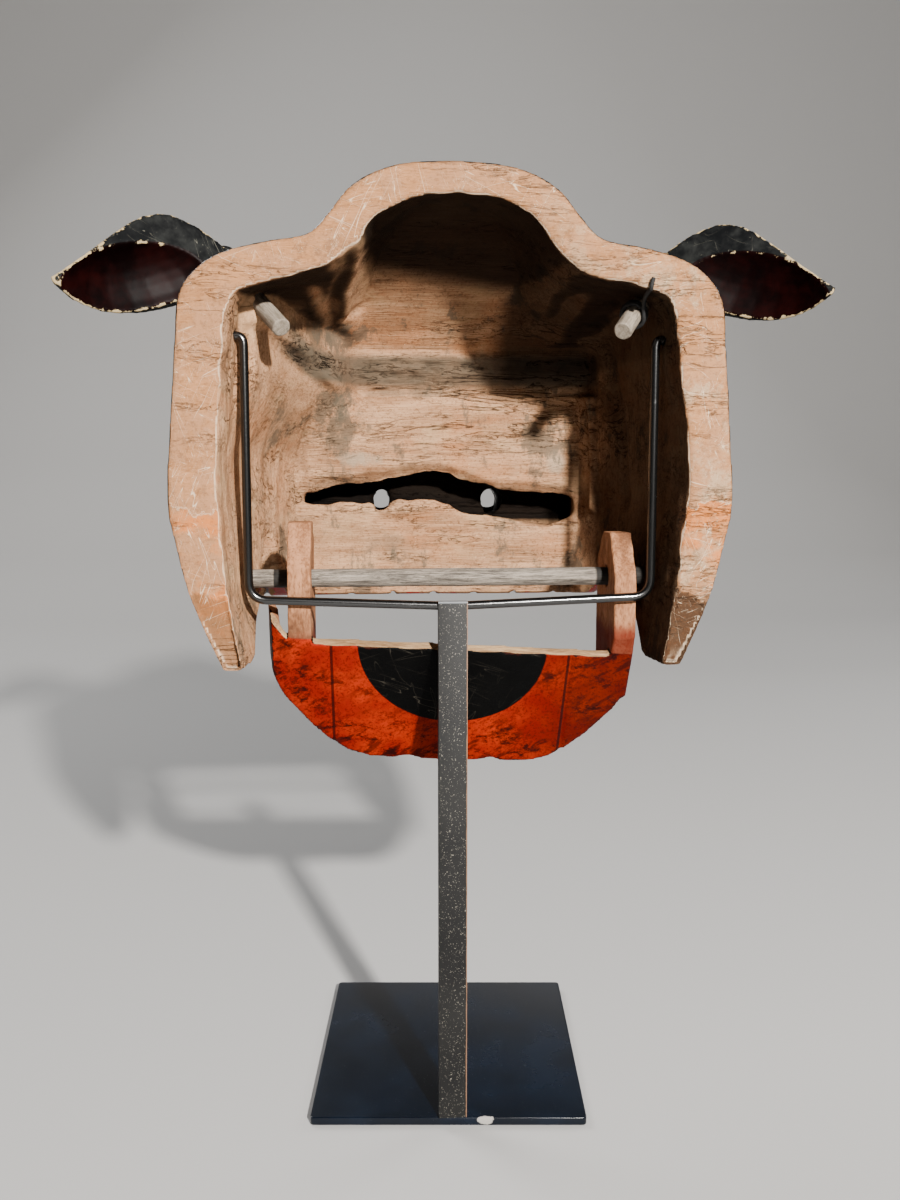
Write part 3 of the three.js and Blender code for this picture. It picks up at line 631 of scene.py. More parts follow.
# rim: smoother and pinker, with scratches, grime and a pale broken line round the hollow
rim_grain = use_effect(
    tree, grain_effect, Place=spot, Stretch=(26.0, 60.0, 95.0), Pale=paint(158, 113, 79), Deep=paint(134, 93, 62)
)
rim_tone = speckle(tree, spot, (26.0, 26.0, 26.0), 8.0, 0.72)
film = maths(tree, "MULTIPLY", fade(tree, rim_tone, 0.44, 0.56), 0.7)
rim_wood = mix(tree, film, rim_grain["Color"], paint(146, 108, 80))
right_rim = fade(tree, axes["X"], 0.02, 0.12)
whitish = maths(tree, "MULTIPLY", fade(tree, speckle(tree, spot, (34.0, 34.0, 34.0), 8.0, 0.75), 0.49, 0.6), right_rim)
rim_wood = mix(tree, maths(tree, "MULTIPLY", whitish, 0.6), rim_wood, paint(158, 138, 112))
# below the mouth corners the sawn face turns orange, and the leg ends are cut back and painted darker as shade, nearly
# black on the right leg
wobble = maths(tree, "MULTIPLY", maths(tree, "SUBTRACT", rim_tone, 0.5), 0.05)
level = maths(tree, "ADD", axes["Z"], wobble)
leg = maths(tree, "SUBTRACT", 1.0, fade(tree, level, 0.443, 0.447))
orange = maths(tree, "MULTIPLY", leg, fade(tree, drift, 0.44, 0.56))
rim_wood = mix(tree, maths(tree, "MULTIPLY", orange, 0.75), rim_wood, paint(178, 102, 48))
leg_end = maths(tree, "SUBTRACT", 1.0, fade(tree, level, 0.386, 0.39))
rim_wood = mix(tree, maths(tree, "MULTIPLY", leg_end, 0.7), rim_wood, paint(104, 72, 48))
right_leg = maths(tree, "MULTIPLY", leg_end, right_rim)
rim_wood = mix(tree, maths(tree, "MULTIPLY", right_leg, 0.8), rim_wood, paint(38, 31, 26))
grime = fade(tree, speckle(tree, spot, (70.0, 70.0, 70.0), 8.0, 0.78), 0.54, 0.62)
rim_wood = mix(tree, maths(tree, "MULTIPLY", grime, 0.4), rim_wood, paint(84, 60, 42))
stippled = maths(tree, "MULTIPLY", fade(tree, stipple, 0.5, 0.64), 0.4)
rim_wood = mix(tree, stippled, rim_wood, paint(98, 66, 44))
scratches = use_effect(tree, scratch_effect, Place=spot, Scale=130.0, Amount=0.75)["Mask"]
fine_scratches = use_effect(tree, scratch_effect, Place=spot, Scale=380.0, Amount=0.6)["Mask"]
scratches = maths(tree, "MAXIMUM", scratches, fine_scratches)
kerf = maths(tree, "ABSOLUTE", maths(tree, "SUBTRACT", level, 0.4455))
kerf = maths(tree, "SUBTRACT", 1.0, fade(tree, kerf, 0.0003, 0.0011))
scratches = maths(tree, "MAXIMUM", scratches, maths(tree, "MULTIPLY", kerf, 0.4))
rim_wood = mix(tree, scratches, rim_wood, paint(196, 176, 150))
wood = mix(tree, rim_mark, hollow_wood, rim_wood)
worn_line = maths(tree, "SUBTRACT", fade(tree, rim_mark, 0.2, 0.4), fade(tree, rim_mark, 0.6, 0.85))
worn_line = maths(tree, "MULTIPLY", worn_line, fade(tree, rim_tone, 0.42, 0.52))
worn_line = maths(tree, "MULTIPLY", worn_line, maths(tree, "SUBTRACT", 1.0, fade(tree, skin_mark, 0.01, 0.08)))
wood = mix(tree, maths(tree, "MULTIPLY", worn_line, 0.6), wood, paint(196, 174, 148))
# lacquer skin: black, with gilded eyes, brows, knob and teeth and a red lip, chipped to the wood
eye_ball = near(tree, spot, FACE_FORMS["eye"], 1.02, 1.08)
pupil = near(tree, spot, {"at": (46, 110, 446), "size": (13.5, 50, 13.5)}, 0.96, 1.04)
brow = near(tree, spot, FACE_FORMS["brow"], 1.02, 1.1)
nostril = near(tree, spot, {"at": (35, 114, 408), "size": (8, 9, 6)}, 1.1, 1.3)
knob = near(tree, spot, FACE_FORMS["knob"], 1.0, 1.06)
forward = fade(tree, axes["Y"], 0.0, 0.012)
below_lip = maths(tree, "SUBTRACT", 1.0, fade(tree, axes["Z"], 0.3945, 0.396))
tooth_row = maths(tree, "SUBTRACT", fade(tree, axes["Y"], 0.05, 0.055), fade(tree, axes["Z"], 0.3805, 0.3815), True)
gold = maths(tree, "MAXIMUM", maths(tree, "MAXIMUM", eye_ball, brow), maths(tree, "MAXIMUM", knob, tooth_row))
gold = maths(tree, "MULTIPLY", gold, forward)
lip = maths(tree, "MAXIMUM", maths(tree, "MULTIPLY", below_lip, forward), nostril)
coat = mix(tree, lip, LACQUER_BLACK, paint(120, 18, 6))
coat = mix(tree, gold, coat, OLD_GOLD)
dark = maths(tree, "MAXIMUM", pupil, attribute(tree, "tooth_gap"), True)
coat = mix(tree, dark, coat, LACQUER_BLACK)
chips = use_effect(tree, chip_effect, Place=spot, Edge=edge_mark, Flake=90.0, Amount=0.52)["Mask"]
coat = mix(tree, chips, coat, paint(112, 82, 58))
covered = fade(tree, maths(tree, "ADD", skin_mark, maths(tree, "MULTIPLY", speckle(tree, spot, (120.0,) * 3), 0.3)), 0.6, 0.68)
tree.links.new(mix(tree, covered, wood, coat), shader.inputs["Base Color"])
bare_or_chip = maths(tree, "MAXIMUM", maths(tree, "SUBTRACT", 1.0, covered), chips)
rough = maths(tree, "ADD", maths(tree, "MULTIPLY", bare_or_chip, 0.5), 0.24)
tree.links.new(maths(tree, "ADD", rough, maths(tree, "MULTIPLY", drift, 0.12)), shader.inputs["Roughness"])
shiny = maths(tree, "MULTIPLY", maths(tree, "MULTIPLY", gold, covered), maths(tree, "SUBTRACT", 1.0, dark))
tree.links.new(maths(tree, "MULTIPLY", shiny, 0.75), shader.inputs["Metallic"])
relief = mix(tree, low_side, across["Height"], upright["Height"])
relief = maths(tree, "SUBTRACT", relief, maths(tree, "MULTIPLY", cracks, 1.6))
relief = maths(tree, "MULTIPLY", relief, maths(tree, "SUBTRACT", 1.0, maths(tree, "MULTIPLY", covered, 0.85)))
relief = maths(tree, "SUBTRACT", relief, maths(tree, "MULTIPLY", maths(tree, "MULTIPLY", chips, covered), 0.6))
set_height(tree, shader, relief, 0.9, 0.0014)
tree.links.new(maths(tree, "MULTIPLY", maths(tree, "SUBTRACT", covered, chips, True), 0.5), shader.inputs["Coat Weight"])
shader.inputs["Coat Roughness"].default_value = 0.22
shader.inputs["Specular IOR Level"].default_value = 0.07
head.data.materials.append(head_finish)
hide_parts("head_shell")
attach(head, "head")


# Ears
# Two leaves carved from one block each, bent forward, with a thick flat upper edge and a deep
# scoop behind. Black lacquer all over, a dark red-brown gloss in the scoop, edges chipped cream.
EAR_PITCH = 0.0013
EAR_ROOT = np.array([153.8, -52.0, 623.0])
EAR_TIP = np.array([252.6, -112.0, 588.5])
EAR_FACING = np.array([0.0, -1.0, 0.12])
EAR_SCOOP = {"middle": (70.0, -20.0, 10.0), "size": (56.0, 35.0, 28.0)}


def carve_ear(side):
    name = "ear_right" if side > 0 else "ear_left"
    ear = even_copy(name, name + "_leaf", EAR_PITCH, 2)
    places, normals = points_of(ear.data)
    mirror = np.array([side, 1.0, 1.0])
    along = EAR_TIP - EAR_ROOT
    along /= np.linalg.norm(along)
    up = np.cross(EAR_FACING, along)
    up /= np.linalg.norm(up)
    facing = np.cross(along, up)
    local = (places * mirror - EAR_ROOT) @ np.stack([along, up, facing], axis=1)
    apart = (local - np.array(EAR_SCOOP["middle"])) / np.array(EAR_SCOOP["size"])
    scooped = 1.0 - ramp(np.linalg.norm(apart, axis=1), 1.0, 1.05)
    wave = 0.35 * ripple(places, (16, 16, 16), 2.0 + side) + 0.15 * ripple(places, (5, 5, 5), 6.0)
    places += normals * (wave * (1.0 - 0.7 * scooped))[:, None]
    mark(ear.data, "scoop", spread(ear.data, scooped, 1))
    mark(ear.data, "worn_edge", spread(ear.data, np.clip(convexity(ear.data, EAR_PITCH), 0.0, 1.0), 1))
    move_points(ear.data, places)
    return ear


ear_finish, tree, shader = new_material("ear_lacquer")
spot = object_place(tree)
scoop_mark = fade(tree, attribute(tree, "scoop"), 0.4, 0.6)
edge_mark = attribute(tree, "worn_edge")
cloud = speckle(tree, spot, (55.0, 55.0, 55.0), 5.0, 0.65)
outside = mix(tree, fade(tree, cloud, 0.4, 0.75), paint(15, 16, 17), paint(38, 39, 38))
inside = mix(tree, fade(tree, cloud, 0.35, 0.75), paint(12, 3, 3), paint(26, 7, 6))
coat = mix(tree, scoop_mark, outside, inside)
specks = fade(tree, speckle(tree, spot, (420.0, 420.0, 420.0), 3.0, 0.7), 0.68, 0.74)
specks = maths(tree, "MULTIPLY", specks, maths(tree, "SUBTRACT", 0.85, scoop_mark, True))
rubs = use_effect(tree, scratch_effect, Place=spot, Scale=150.0, Amount=0.8)["Mask"]
rubs = maths(tree, "MULTIPLY", rubs, maths(tree, "SUBTRACT", 1.0, scoop_mark))
coat = mix(tree, maths(tree, "MAXIMUM", maths(tree, "MULTIPLY", specks, 0.6), maths(tree, "MULTIPLY", rubs, 0.6)), coat, paint(120, 117, 106))
chips = use_effect(tree, chip_effect, Place=spot, Edge=edge_mark, Flake=160.0, Amount=0.56)["Mask"]
tree.links.new(mix(tree, chips, coat, paint(150, 132, 100)), shader.inputs["Base Color"])
gloss = maths(tree, "ADD", maths(tree, "MULTIPLY", cloud, 0.25), maths(tree, "MULTIPLY", chips, 0.4))
gloss = maths(tree, "ADD", gloss, maths(tree, "MULTIPLY", maths(tree, "SUBTRACT", 1.0, scoop_mark), 0.12))
tree.links.new(maths(tree, "ADD", gloss, 0.34), shader.inputs["Roughness"])
relief = maths(tree, "SUBTRACT", maths(tree, "MULTIPLY", cloud, 0.4), maths(tree, "MULTIPLY", chips, 1.0))
set_height(tree, shader, relief, 0.4, 0.0006)
shader.inputs["Specular IOR Level"].default_value = 0.05
for side, ear_node in ((-1.0, "ear_left"), (1.0, "ear_right")):
    ear = carve_ear(side)
    ear.data.materials.append(ear_finish)
    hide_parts(ear_node)
    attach(ear, "head")


# Ear pegs
# Round whittled pegs of weathered wood. Each runs from inside the head through the shoulder into
# the ear, and its inner end is cut off square with a small worn bevel.
PEG = {"radius": 0.0062, "end": (0.1105, -0.109, 0.5595), "axis": (0.46, 0.71, 0.53), "length": 0.0957}


def whittled_rod(name, length, radius, rings, sides, wander):
    """A round stick along X with a bevel at each end, a little uneven along its length"""
    bevel = radius * 0.14
    stations = [(0.0, radius - bevel), (bevel, radius)]
    stations += [(length * i / rings, radius) for i in range(1, rings)]
    stations += [(length - bevel, radius), (length, radius - bevel)]
    shape = bmesh.new()
    loops = []
    for x, reach in stations:
        loop = []
        for i in range(sides):
            turn = 2.0 * math.pi * i / sides
            flat = Vector((x * 18.0, math.cos(turn) * 1.7, math.sin(turn) * 1.7))
            grown = reach - wander * abs(noise.noise(flat)) * 1.6
            loop.append(shape.verts.new((x, math.cos(turn) * grown, math.sin(turn) * grown)))
        loops.append(loop)
    for one, other in zip(loops, loops[1:]):
        for i in range(sides):
            j = (i + 1) % sides
            shape.faces.new((one[i], one[j], other[j], other[i]))
    for loop, x, turned in ((loops[0], 0.0, True), (loops[-1], length, False)):
        middle = shape.verts.new((x, 0.0, 0.0))
        for i in range(sides):
            j = (i + 1) % sides
            shape.faces.new((loop[j], loop[i], middle) if turned else (loop[i], loop[j], middle))
    bmesh.ops.recalc_face_normals(shape, faces=shape.faces)
    mesh = bpy.data.meshes.new(name)
    shape.to_mesh(mesh)
    shape.free()
    mesh.shade_smooth()
    mesh.set_sharp_from_angle(angle=math.radians(40.0))
    stick = bpy.data.objects.new(name, mesh)
    world_scene.collection.objects.link(stick)
    return stick


def weathered_stick(name, pale, deep, stretch):
    """Grey weathered wood with its grain along X"""
    finish, tree, shader = new_material(name)
    spot = object_place(tree)
    grain = use_effect(tree, grain_effect, Place=spot, Stretch=stretch, Pale=pale, Deep=deep)
    cracks = use_effect(tree, crack_effect, Place=spot, Stretch=(30.0, 300.0, 300.0), Amount=0.7)["Mask"]
    stained = mix(tree, cracks, grain["Color"], paint(52, 44, 38))
    relief = maths(tree, "SUBTRACT", grain["Height"], cracks)
    set_height(tree, shader, relief, 0.7, 0.0006)
    shader.inputs["Roughness"].default_value = 0.72
    shader.inputs["Specular IOR Level"].default_value = 0.3
    return finish, tree, shader, stained, spot


peg_finish, tree, shader, colour, spot = weathered_stick(
    "peg_wood", paint(140, 129, 115), paint(92, 82, 70), (45.0, 420.0, 420.0)
)
tree.links.new(colour, shader.inputs["Base Color"])
for side, peg_node in ((-1.0, "ear_peg_left"), (1.0, "ear_peg_right")):
    peg = whittled_rod(peg_node + "_stick", PEG["length"], PEG["radius"], 24, 36, 0.0003)
    axis = Vector((PEG["axis"][0] * side, PEG["axis"][1], PEG["axis"][2])).normalized()
    end = Vector((PEG["end"][0] * side, PEG["end"][1], PEG["end"][2]))
    peg.matrix_world = Matrix.Translation(end) @ axis.to_track_quat("X", "Z").to_matrix().to_4x4()
    peg.data.materials.append(peg_finish)
    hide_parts(peg_node)
    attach(peg, "head")


# Peg tie
# A length of black twisted cord, wound two and a half times round the right peg where it leaves
# the ceiling, with its end laid up over the rim.
TIE = {"radius": 0.0014, "coil": 0.0080, "start": 0.030, "turns": 2.5, "pitch": 0.0033}
TIE_END = [
    (0.1262, -0.1010, 0.5765),
    (0.1250, -0.1080, 0.5810),
    (0.1246, -0.1170, 0.5832),
    (0.1246, -0.1230, 0.5838),
    (0.1248, -0.1248, 0.5848),
    (0.1250, -0.1252, 0.5870),
    (0.1260, -0.1252, 0.5910),
]
axis = Vector(PEG["axis"]).normalized()
side_way = Vector((0.0, 0.0, 1.0)).cross(axis).normalized()
up_way = axis.cross(side_way)
route = []
for i in range(int(TIE["turns"] * 16) + 1):
    turn = i / 16.0
    angle = turn * 2.0 * math.pi
    route.append(
        Vector(PEG["end"])
        + axis * (TIE["start"] - turn * TIE["pitch"])
        + side_way * (math.cos(angle) * TIE["coil"])
        - up_way * (math.sin(angle) * TIE["coil"])
    )
route += [Vector(p) for p in TIE_END]


def swept_round(name, points, radius, sides, twist=0.0, lobes=0, swell=0.0):
    """A round cord or wire along points, with flat ends; lobes and twist lay strands round it"""
    shape = bmesh.new()
    loops = []
    forward = (points[1] - points[0]).normalized()
    across = forward.orthogonal().normalized()
    travelled = 0.0
    for i, point in enumerate(points):
        ahead = (points[min(i + 1, len(points) - 1)] - points[max(i - 1, 0)]).normalized()
        across = (across - ahead * across.dot(ahead)).normalized()
        beside = ahead.cross(across)
        travelled += (point - points[max(i - 1, 0)]).length
        loop = []
        for k in range(sides):
            angle = 2.0 * math.pi * k / sides
            reach = radius * (1.0 - swell + swell * abs(math.cos(lobes * 0.5 * angle + twist * travelled)))
            loop.append(shape.verts.new(point + across * (math.cos(angle) * reach) + beside * (math.sin(angle) * reach)))
        loops.append(loop)
    for one, other in zip(loops, loops[1:]):
        for k in range(sides):
            j = (k + 1) % sides
            shape.faces.new((one[k], one[j], other[j], other[k]))
    shape.faces.new(loops[0][::-1])
    shape.faces.new(loops[-1])
    bmesh.ops.recalc_face_normals(shape, faces=shape.faces)
    mesh = bpy.data.meshes.new(name)
    shape.to_mesh(mesh)
    shape.free()
    mesh.shade_smooth()
    mesh.set_sharp_from_angle(angle=math.radians(60.0))
    made = bpy.data.objects.new(name, mesh)
    world_scene.collection.objects.link(made)
    return made


def smooth_route(points, steps):
    """Points through the given ones on a smooth curve, steps to each stretch"""
    padded = [points[0] * 2 - points[1]] + list(points) + [points[-1] * 2 - points[-2]]
    made = []
    for a, b, c, d in zip(padded, padded[1:], padded[2:], padded[3:]):
        for i in range(steps):
            t = i / steps
            made.append(0.5 * (2 * b + (c - a) * t + (2 * a - 5 * b + 4 * c - d) * t**2 + (3 * b - a - 3 * c + d) * t**3))
    return made + [points[-1]]


tie = swept_round("peg_tie_cord", smooth_route(route, 5), TIE["radius"], 18, twist=900.0, lobes=6, swell=0.16)
tie_finish, tree, shader = new_material("black_cord")
spot = object_place(tree)
fuzz = speckle(tree, spot, (900.0, 900.0, 900.0), 4.0, 0.7)
tree.links.new(mix(tree, fade(tree, fuzz, 0.45, 0.75), paint(7, 7, 8), paint(24, 23, 23)), shader.inputs["Base Color"])
set_height(tree, shader, fuzz, 0.6, 0.0004)
shader.inputs["Roughness"].default_value = 0.8
tie.data.materials.append(tie_finish)
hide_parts("peg_tie")
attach(tie, "head")


# Jaw rod
# A round wooden rod right across the mouth, held in both side walls. It is grey and rubbed, with
# a black band beside each post where the jaw has turned on it.
ROD = {"radius": 0.0065, "half": 0.158, "y": -0.062, "z": 0.394}
rod = whittled_rod("jaw_rod_stick", ROD["half"] * 2, ROD["radius"], 120, 40, 0.00035)
rod.matrix_world = Matrix.Translation((-ROD["half"], ROD["y"], ROD["z"]))
rod_finish, tree, shader, colour, spot = weathered_stick(
    "rod_wood", paint(150, 139, 126), paint(38, 34, 30), (55.0, 760.0, 760.0)
)
reach = maths(tree, "SUBTRACT", add_node(tree, "SeparateXYZ", {0: spot}).outputs["X"], ROD["half"])
left_band = maths(tree, "MULTIPLY", fade(tree, reach, -0.1235, -0.1225), maths(tree, "SUBTRACT", 1.0, fade(tree, reach, -0.1120, -0.1105)))
right_band = maths(tree, "MULTIPLY", fade(tree, reach, 0.1040, 0.1060), maths(tree, "SUBTRACT", 1.0, fade(tree, reach, 0.1400, 0.1410)))
band = maths(tree, "MAXIMUM", left_band, right_band)
tree.links.new(mix(tree, maths(tree, "MULTIPLY", band, 0.93), colour, paint(8, 8, 8)), shader.inputs["Base Color"])
rod.data.materials.append(rod_finish)
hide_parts("jaw_rod")
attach(rod, "head")


# Lower jaw
# A shallow tray with a wavy lip and two posts that hang on the rod, cut from one board. Worn
# orange-red lacquer below with a black half disc, black sides, and bare wood at the rear edge.
# The red is painted darker towards the right end, as shade.
JAW_PITCH = 0.0016
JAW_REAR = np.array([0.0, -88.0, 346.0])
JAW_SLOPE = math.radians(62.0)
JAW_ALONG = np.array([0.0, math.cos(JAW_SLOPE), -math.sin(JAW_SLOPE)])
JAW_UP = np.array([0.0, math.sin(JAW_SLOPE), math.cos(JAW_SLOPE)])
JAW_SKEW = 0.07
HALF_DISC = {"x": 0.001, "radius": 0.066}
jaw = even_copy("lower_jaw", "lower_jaw_tray", JAW_PITCH, 2)
place, normal = points_of(jaw.data)
height = (place - JAW_REAR) @ JAW_UP
reach = (place - JAW_REAR) @ JAW_ALONG - JAW_SKEW * place[:, 0]
underside = ramp(-normal @ JAW_UP, 0.5, 0.8) * ramp(4.0 - height, 0.0, 2.0)
# above 12 mm the side walls' rear edges are not marked bare, so they stay dark as painted shade
rear = ramp(-normal @ JAW_ALONG, 0.5, 0.8) * ramp(4.0 - reach, 0.0, 3.0) * ramp(12.0 - height, 0.0, 3.0)
edge = spread(jaw.data, np.clip(convexity(jaw.data, JAW_PITCH), 0.0, 1.0), 1)
depth = 0.3 * ripple(place, (34, 34, 34), 1.7) + 0.12 * ripple(place, (9, 9, 9), 5.1)
depth -= 0.5 * ramp(-reach, 4.0, 10.0) * gouge(place, (40, 12, 18), 3.3)
place += normal * depth[:, None]
place[:, 2] += 17.0 * np.clip((-111.5 - place[:, 0]) / 14.0, 0.0, 1.0) * ramp(46.0 - reach, 0.0, 40.0)
move_points(jaw.data, place)
mark(jaw.data, "underside", spread(jaw.data, underside, 1))
mark(jaw.data, "post", ramp(-reach, 1.0, 5.0))
mark(jaw.data, "rear_edge", spread(jaw.data, rear, 1))
mark(jaw.data, "inside", ramp(height, 5.0, 9.0) * ramp(normal @ JAW_UP + 0.4, 0.0, 0.5))
mark(jaw.data, "worn_edge", edge)

jaw_finish, tree, shader = new_material("red_lacquer")
spot = object_place(tree)
from_rear = add_node(tree, "VectorMath", {0: spot, 1: tuple(JAW_REAR / 1000.0)}, operation="SUBTRACT").outputs[0]
along = add_node(tree, "VectorMath", {0: from_rear, 1: tuple(JAW_ALONG)}, operation="DOT_PRODUCT").outputs["Value"]
axes = add_node(tree, "SeparateXYZ", {0: spot}).outputs
along = maths(tree, "SUBTRACT", along, maths(tree, "MULTIPLY", axes["X"], JAW_SKEW))
off_centre = maths(tree, "SUBTRACT", axes["X"], HALF_DISC["x"])
squares = maths(tree, "ADD", maths(tree, "MULTIPLY", along, along), maths(tree, "MULTIPLY", off_centre, off_centre))
ring = maths(tree, "ADD", maths(tree, "SQRT", squares), maths(tree, "MULTIPLY", speckle(tree, spot, (60.0,) * 3), 0.0012))
disc = maths(tree, "SUBTRACT", 1.0, fade(tree, ring, HALF_DISC["radius"], HALF_DISC["radius"] + 0.0008))
cloud = speckle(tree, spot, (26.0, 26.0, 26.0), 5.0, 0.65)
red = mix(tree, fade(tree, cloud, 0.38, 0.68), paint(112, 20, 0), paint(146, 39, 0))
dirt = fade(tree, speckle(tree, spot, (60.0, 110.0, 110.0), 8.0, 0.8), 0.5, 0.6)
outer = fade(tree, maths(tree, "ABSOLUTE", axes["X"]), 0.07, 0.12)
near_lip = fade(tree, along, 0.055, 0.1)
wide_dirt = fade(tree, maths(tree, "ADD", speckle(tree, spot, (13.0,) * 3, 3.0), maths(tree, "MULTIPLY", maths(tree, "MAXIMUM", outer, near_lip), 0.16)), 0.46, 0.62)
red = mix(tree, maths(tree, "MULTIPLY", maths(tree, "MULTIPLY", dirt, wide_dirt), 0.88), red, paint(16, 5, 3))
smear = add_node(tree, "VectorRotate", {"Vector": spot, "Angle": 0.6}, rotation_type="Y_AXIS").outputs[0]
smear = fade(tree, speckle(tree, smear, (26.0, 60.0, 110.0), 5.0, 0.7), 0.5, 0.6)
red = mix(tree, maths(tree, "MULTIPLY", maths(tree, "MULTIPLY", smear, wide_dirt), 0.7), red, paint(30, 6, 2))
weave = fade(tree, speckle(tree, spot, (520.0, 520.0, 420.0), 3.0, 0.7), 0.5, 0.62)
red = mix(tree, maths(tree, "MULTIPLY", weave, 0.5), red, paint(52, 8, 2))
# painted shade: the red darkens towards the right end of the jaw, which lies in shadow
red = mix(tree, maths(tree, "MULTIPLY", fade(tree, axes["X"], 0.03, 0.11), 0.62), red, paint(30, 8, 4))
groove_x = maths(tree, "ABSOLUTE", maths(tree, "SUBTRACT", maths(tree, "ABSOLUTE", axes["X"]), 0.083))
groove = maths(tree, "SUBTRACT", 1.0, fade(tree, groove_x, 0.0006, 0.0014))
red = mix(tree, maths(tree, "MULTIPLY", groove, 0.8), red, paint(20, 6, 4))
black = mix(tree, fade(tree, cloud, 0.4, 0.75), paint(4, 4, 4), paint(10, 10, 9))
scratches = use_effect(tree, scratch_effect, Place=spot, Scale=120.0, Amount=0.7)["Mask"]
under = mix(tree, disc, red, mix(tree, maths(tree, "MULTIPLY", scratches, 0.35), black, paint(96, 90, 80)))
under_mark = fade(tree, attribute(tree, "underside"), 0.4, 0.6)
sides = mix(tree, under_mark, black, under)
bare = use_effect(tree, grain_effect, Place=spot, Stretch=(120.0, 60.0, 14.0), Pale=paint(160, 114, 84), Deep=paint(108, 72, 50))
end_grain = use_effect(tree, grain_effect, Place=spot, Stretch=(16.0, 130.0, 130.0), Pale=paint(166, 138, 104), Deep=paint(100, 74, 52))
post_mark = attribute(tree, "post")
inside_mark = fade(tree, attribute(tree, "inside"), 0.4, 0.6)
rear_mark = fade(tree, attribute(tree, "rear_edge"), 0.35, 0.6)
patch = maths(tree, "SUBTRACT", 1.0, fade(tree, maths(tree, "ADD", axes["Z"], maths(tree, "MULTIPLY", cloud, 0.02)), 0.362, 0.376))
post_wood = mix(tree, maths(tree, "MULTIPLY", patch, 0.85), bare["Color"], paint(84, 20, 8))
flanks = mix(tree, fade(tree, cloud, 0.5, 0.7), post_wood, paint(78, 52, 38))
colour = mix(tree, inside_mark, sides, flanks)
colour = mix(tree, rear_mark, colour, end_grain["Color"])
colour = mix(tree, fade(tree, post_mark, 0.3, 0.7), colour, flanks)
chips = use_effect(tree, chip_effect, Place=spot, Edge=attribute(tree, "worn_edge"), Flake=120.0, Amount=0.55)["Mask"]
painted = maths(tree, "MULTIPLY", maths(tree, "SUBTRACT", 1.0, maths(tree, "MAXIMUM", rear_mark, post_mark)), maths(tree, "SUBTRACT", 1.0, inside_mark), True)
colour = mix(tree, maths(tree, "MULTIPLY", chips, painted), colour, paint(40, 16, 10))
tree.links.new(colour, shader.inputs["Base Color"])
matte = maths(tree, "MULTIPLY", maths(tree, "SUBTRACT", 1.0, painted), 0.32)
gloss = maths(tree, "ADD", maths(tree, "MULTIPLY", cloud, 0.3), maths(tree, "MULTIPLY", dirt, 0.12))
tree.links.new(maths(tree, "ADD", maths(tree, "ADD", gloss, matte), 0.34), shader.inputs["Roughness"])
relief = maths(tree, "ADD", maths(tree, "MULTIPLY", bare["Height"], maths(tree, "SUBTRACT", 1.0, painted)), maths(tree, "MULTIPLY", dirt, -0.25))
set_height(tree, shader, relief, 0.5, 0.0006)
shader.inputs["Specular IOR Level"].default_value = 0.07
jaw.data.materials.append(jaw_finish)
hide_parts("lower_jaw")
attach(jaw, "jaw")


# Base plate and upright
# Flat steel stock with its edges eased by a file. The plate is gloss black paint with dust specks
# and a chip on its near edge; the bar is a dull black coat, speckled, rubbed to metal at the top.
def eased_copy(node, name, width):
    """A copy of a CAD solid with a small round on its sharp edges"""
    piece = bpy.data.objects.new(name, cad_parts[node].data.copy())
    world_scene.collection.objects.link(piece)
    shape = bmesh.new()
    shape.from_mesh(piece.data)
    bmesh.ops.remove_doubles(shape, verts=shape.verts, dist=1e-6)
    bmesh.ops.dissolve_limit(shape, angle_limit=math.radians(1.0), verts=shape.verts, edges=shape.edges)
    shape.to_mesh(piece.data)
    shape.free()
    filed = piece.modifiers.new("filed_edges", "BEVEL")
    filed.width = width
    filed.segments = 3
    filed.limit_method = "ANGLE"
    filed.angle_limit = math.radians(35.0)
    bpy.context.view_layer.update()
    seen = piece.evaluated_get(bpy.context.evaluated_depsgraph_get())
    mesh = bpy.data.meshes.new_from_object(seen)
    piece.modifiers.clear()
    piece.data = mesh
    mesh.name = name
    mesh.materials.clear()
    mesh.shade_smooth()
    mesh.set_sharp_from_angle(angle=math.radians(32.0))
    return piece


def speckled_steel(name, base, lighter, speck, speck_amount):
    """Painted steel with cloudy sheen and fine pale specks"""
    finish, tree, shader = new_material(name)
    spot = object_place(tree)
    cloud = speckle(tree, spot, (18.0, 18.0, 18.0), 4.0, 0.6)
    dust = fade(tree, speckle(tree, spot, (1100.0, 1100.0, 1100.0), 2.0, 0.6), 0.73 - speck_amount, 0.77 - speck_amount)
    colour = mix(tree, fade(tree, cloud, 0.35, 0.75), base, lighter)
    colour = mix(tree, maths(tree, "MULTIPLY", dust, 0.8), colour, speck)
    return finish, tree, shader, spot, cloud, dust, colour


plate = eased_copy("stand_plate", "stand_plate_steel", 0.0007)
plate_finish, tree, shader, spot, cloud, dust, colour = speckled_steel(
    "plate_steel", paint(8, 15, 23), paint(12, 22, 34), paint(96, 100, 104), 0.0
)
axes = add_node(tree, "SeparateXYZ", {0: spot}).outputs
chip_spot = add_node(tree, "VectorMath", {0: spot, 1: (0.0236, -0.1015, 0.004)}, operation="SUBTRACT").outputs[0]
chip_size = add_node(tree, "VectorMath", {0: chip_spot, 1: (0.007, 0.0026, 0.004)}, operation="DIVIDE").outputs[0]
chip_reach = add_node(tree, "VectorMath", {0: chip_size}, operation="LENGTH").outputs["Value"]
chip_reach = maths(tree, "ADD", chip_reach, maths(tree, "MULTIPLY", speckle(tree, spot, (300.0,) * 3), 0.8))
chip = maths(tree, "SUBTRACT", 1.0, fade(tree, chip_reach, 1.15, 1.3))
colour = mix(tree, chip, colour, paint(150, 146, 140))
tree.links.new(colour, shader.inputs["Base Color"])
gloss = maths(tree, "ADD", maths(tree, "MULTIPLY", cloud, 0.22), maths(tree, "MULTIPLY", dust, 0.3))
tree.links.new(maths(tree, "ADD", gloss, 0.14), shader.inputs["Roughness"])
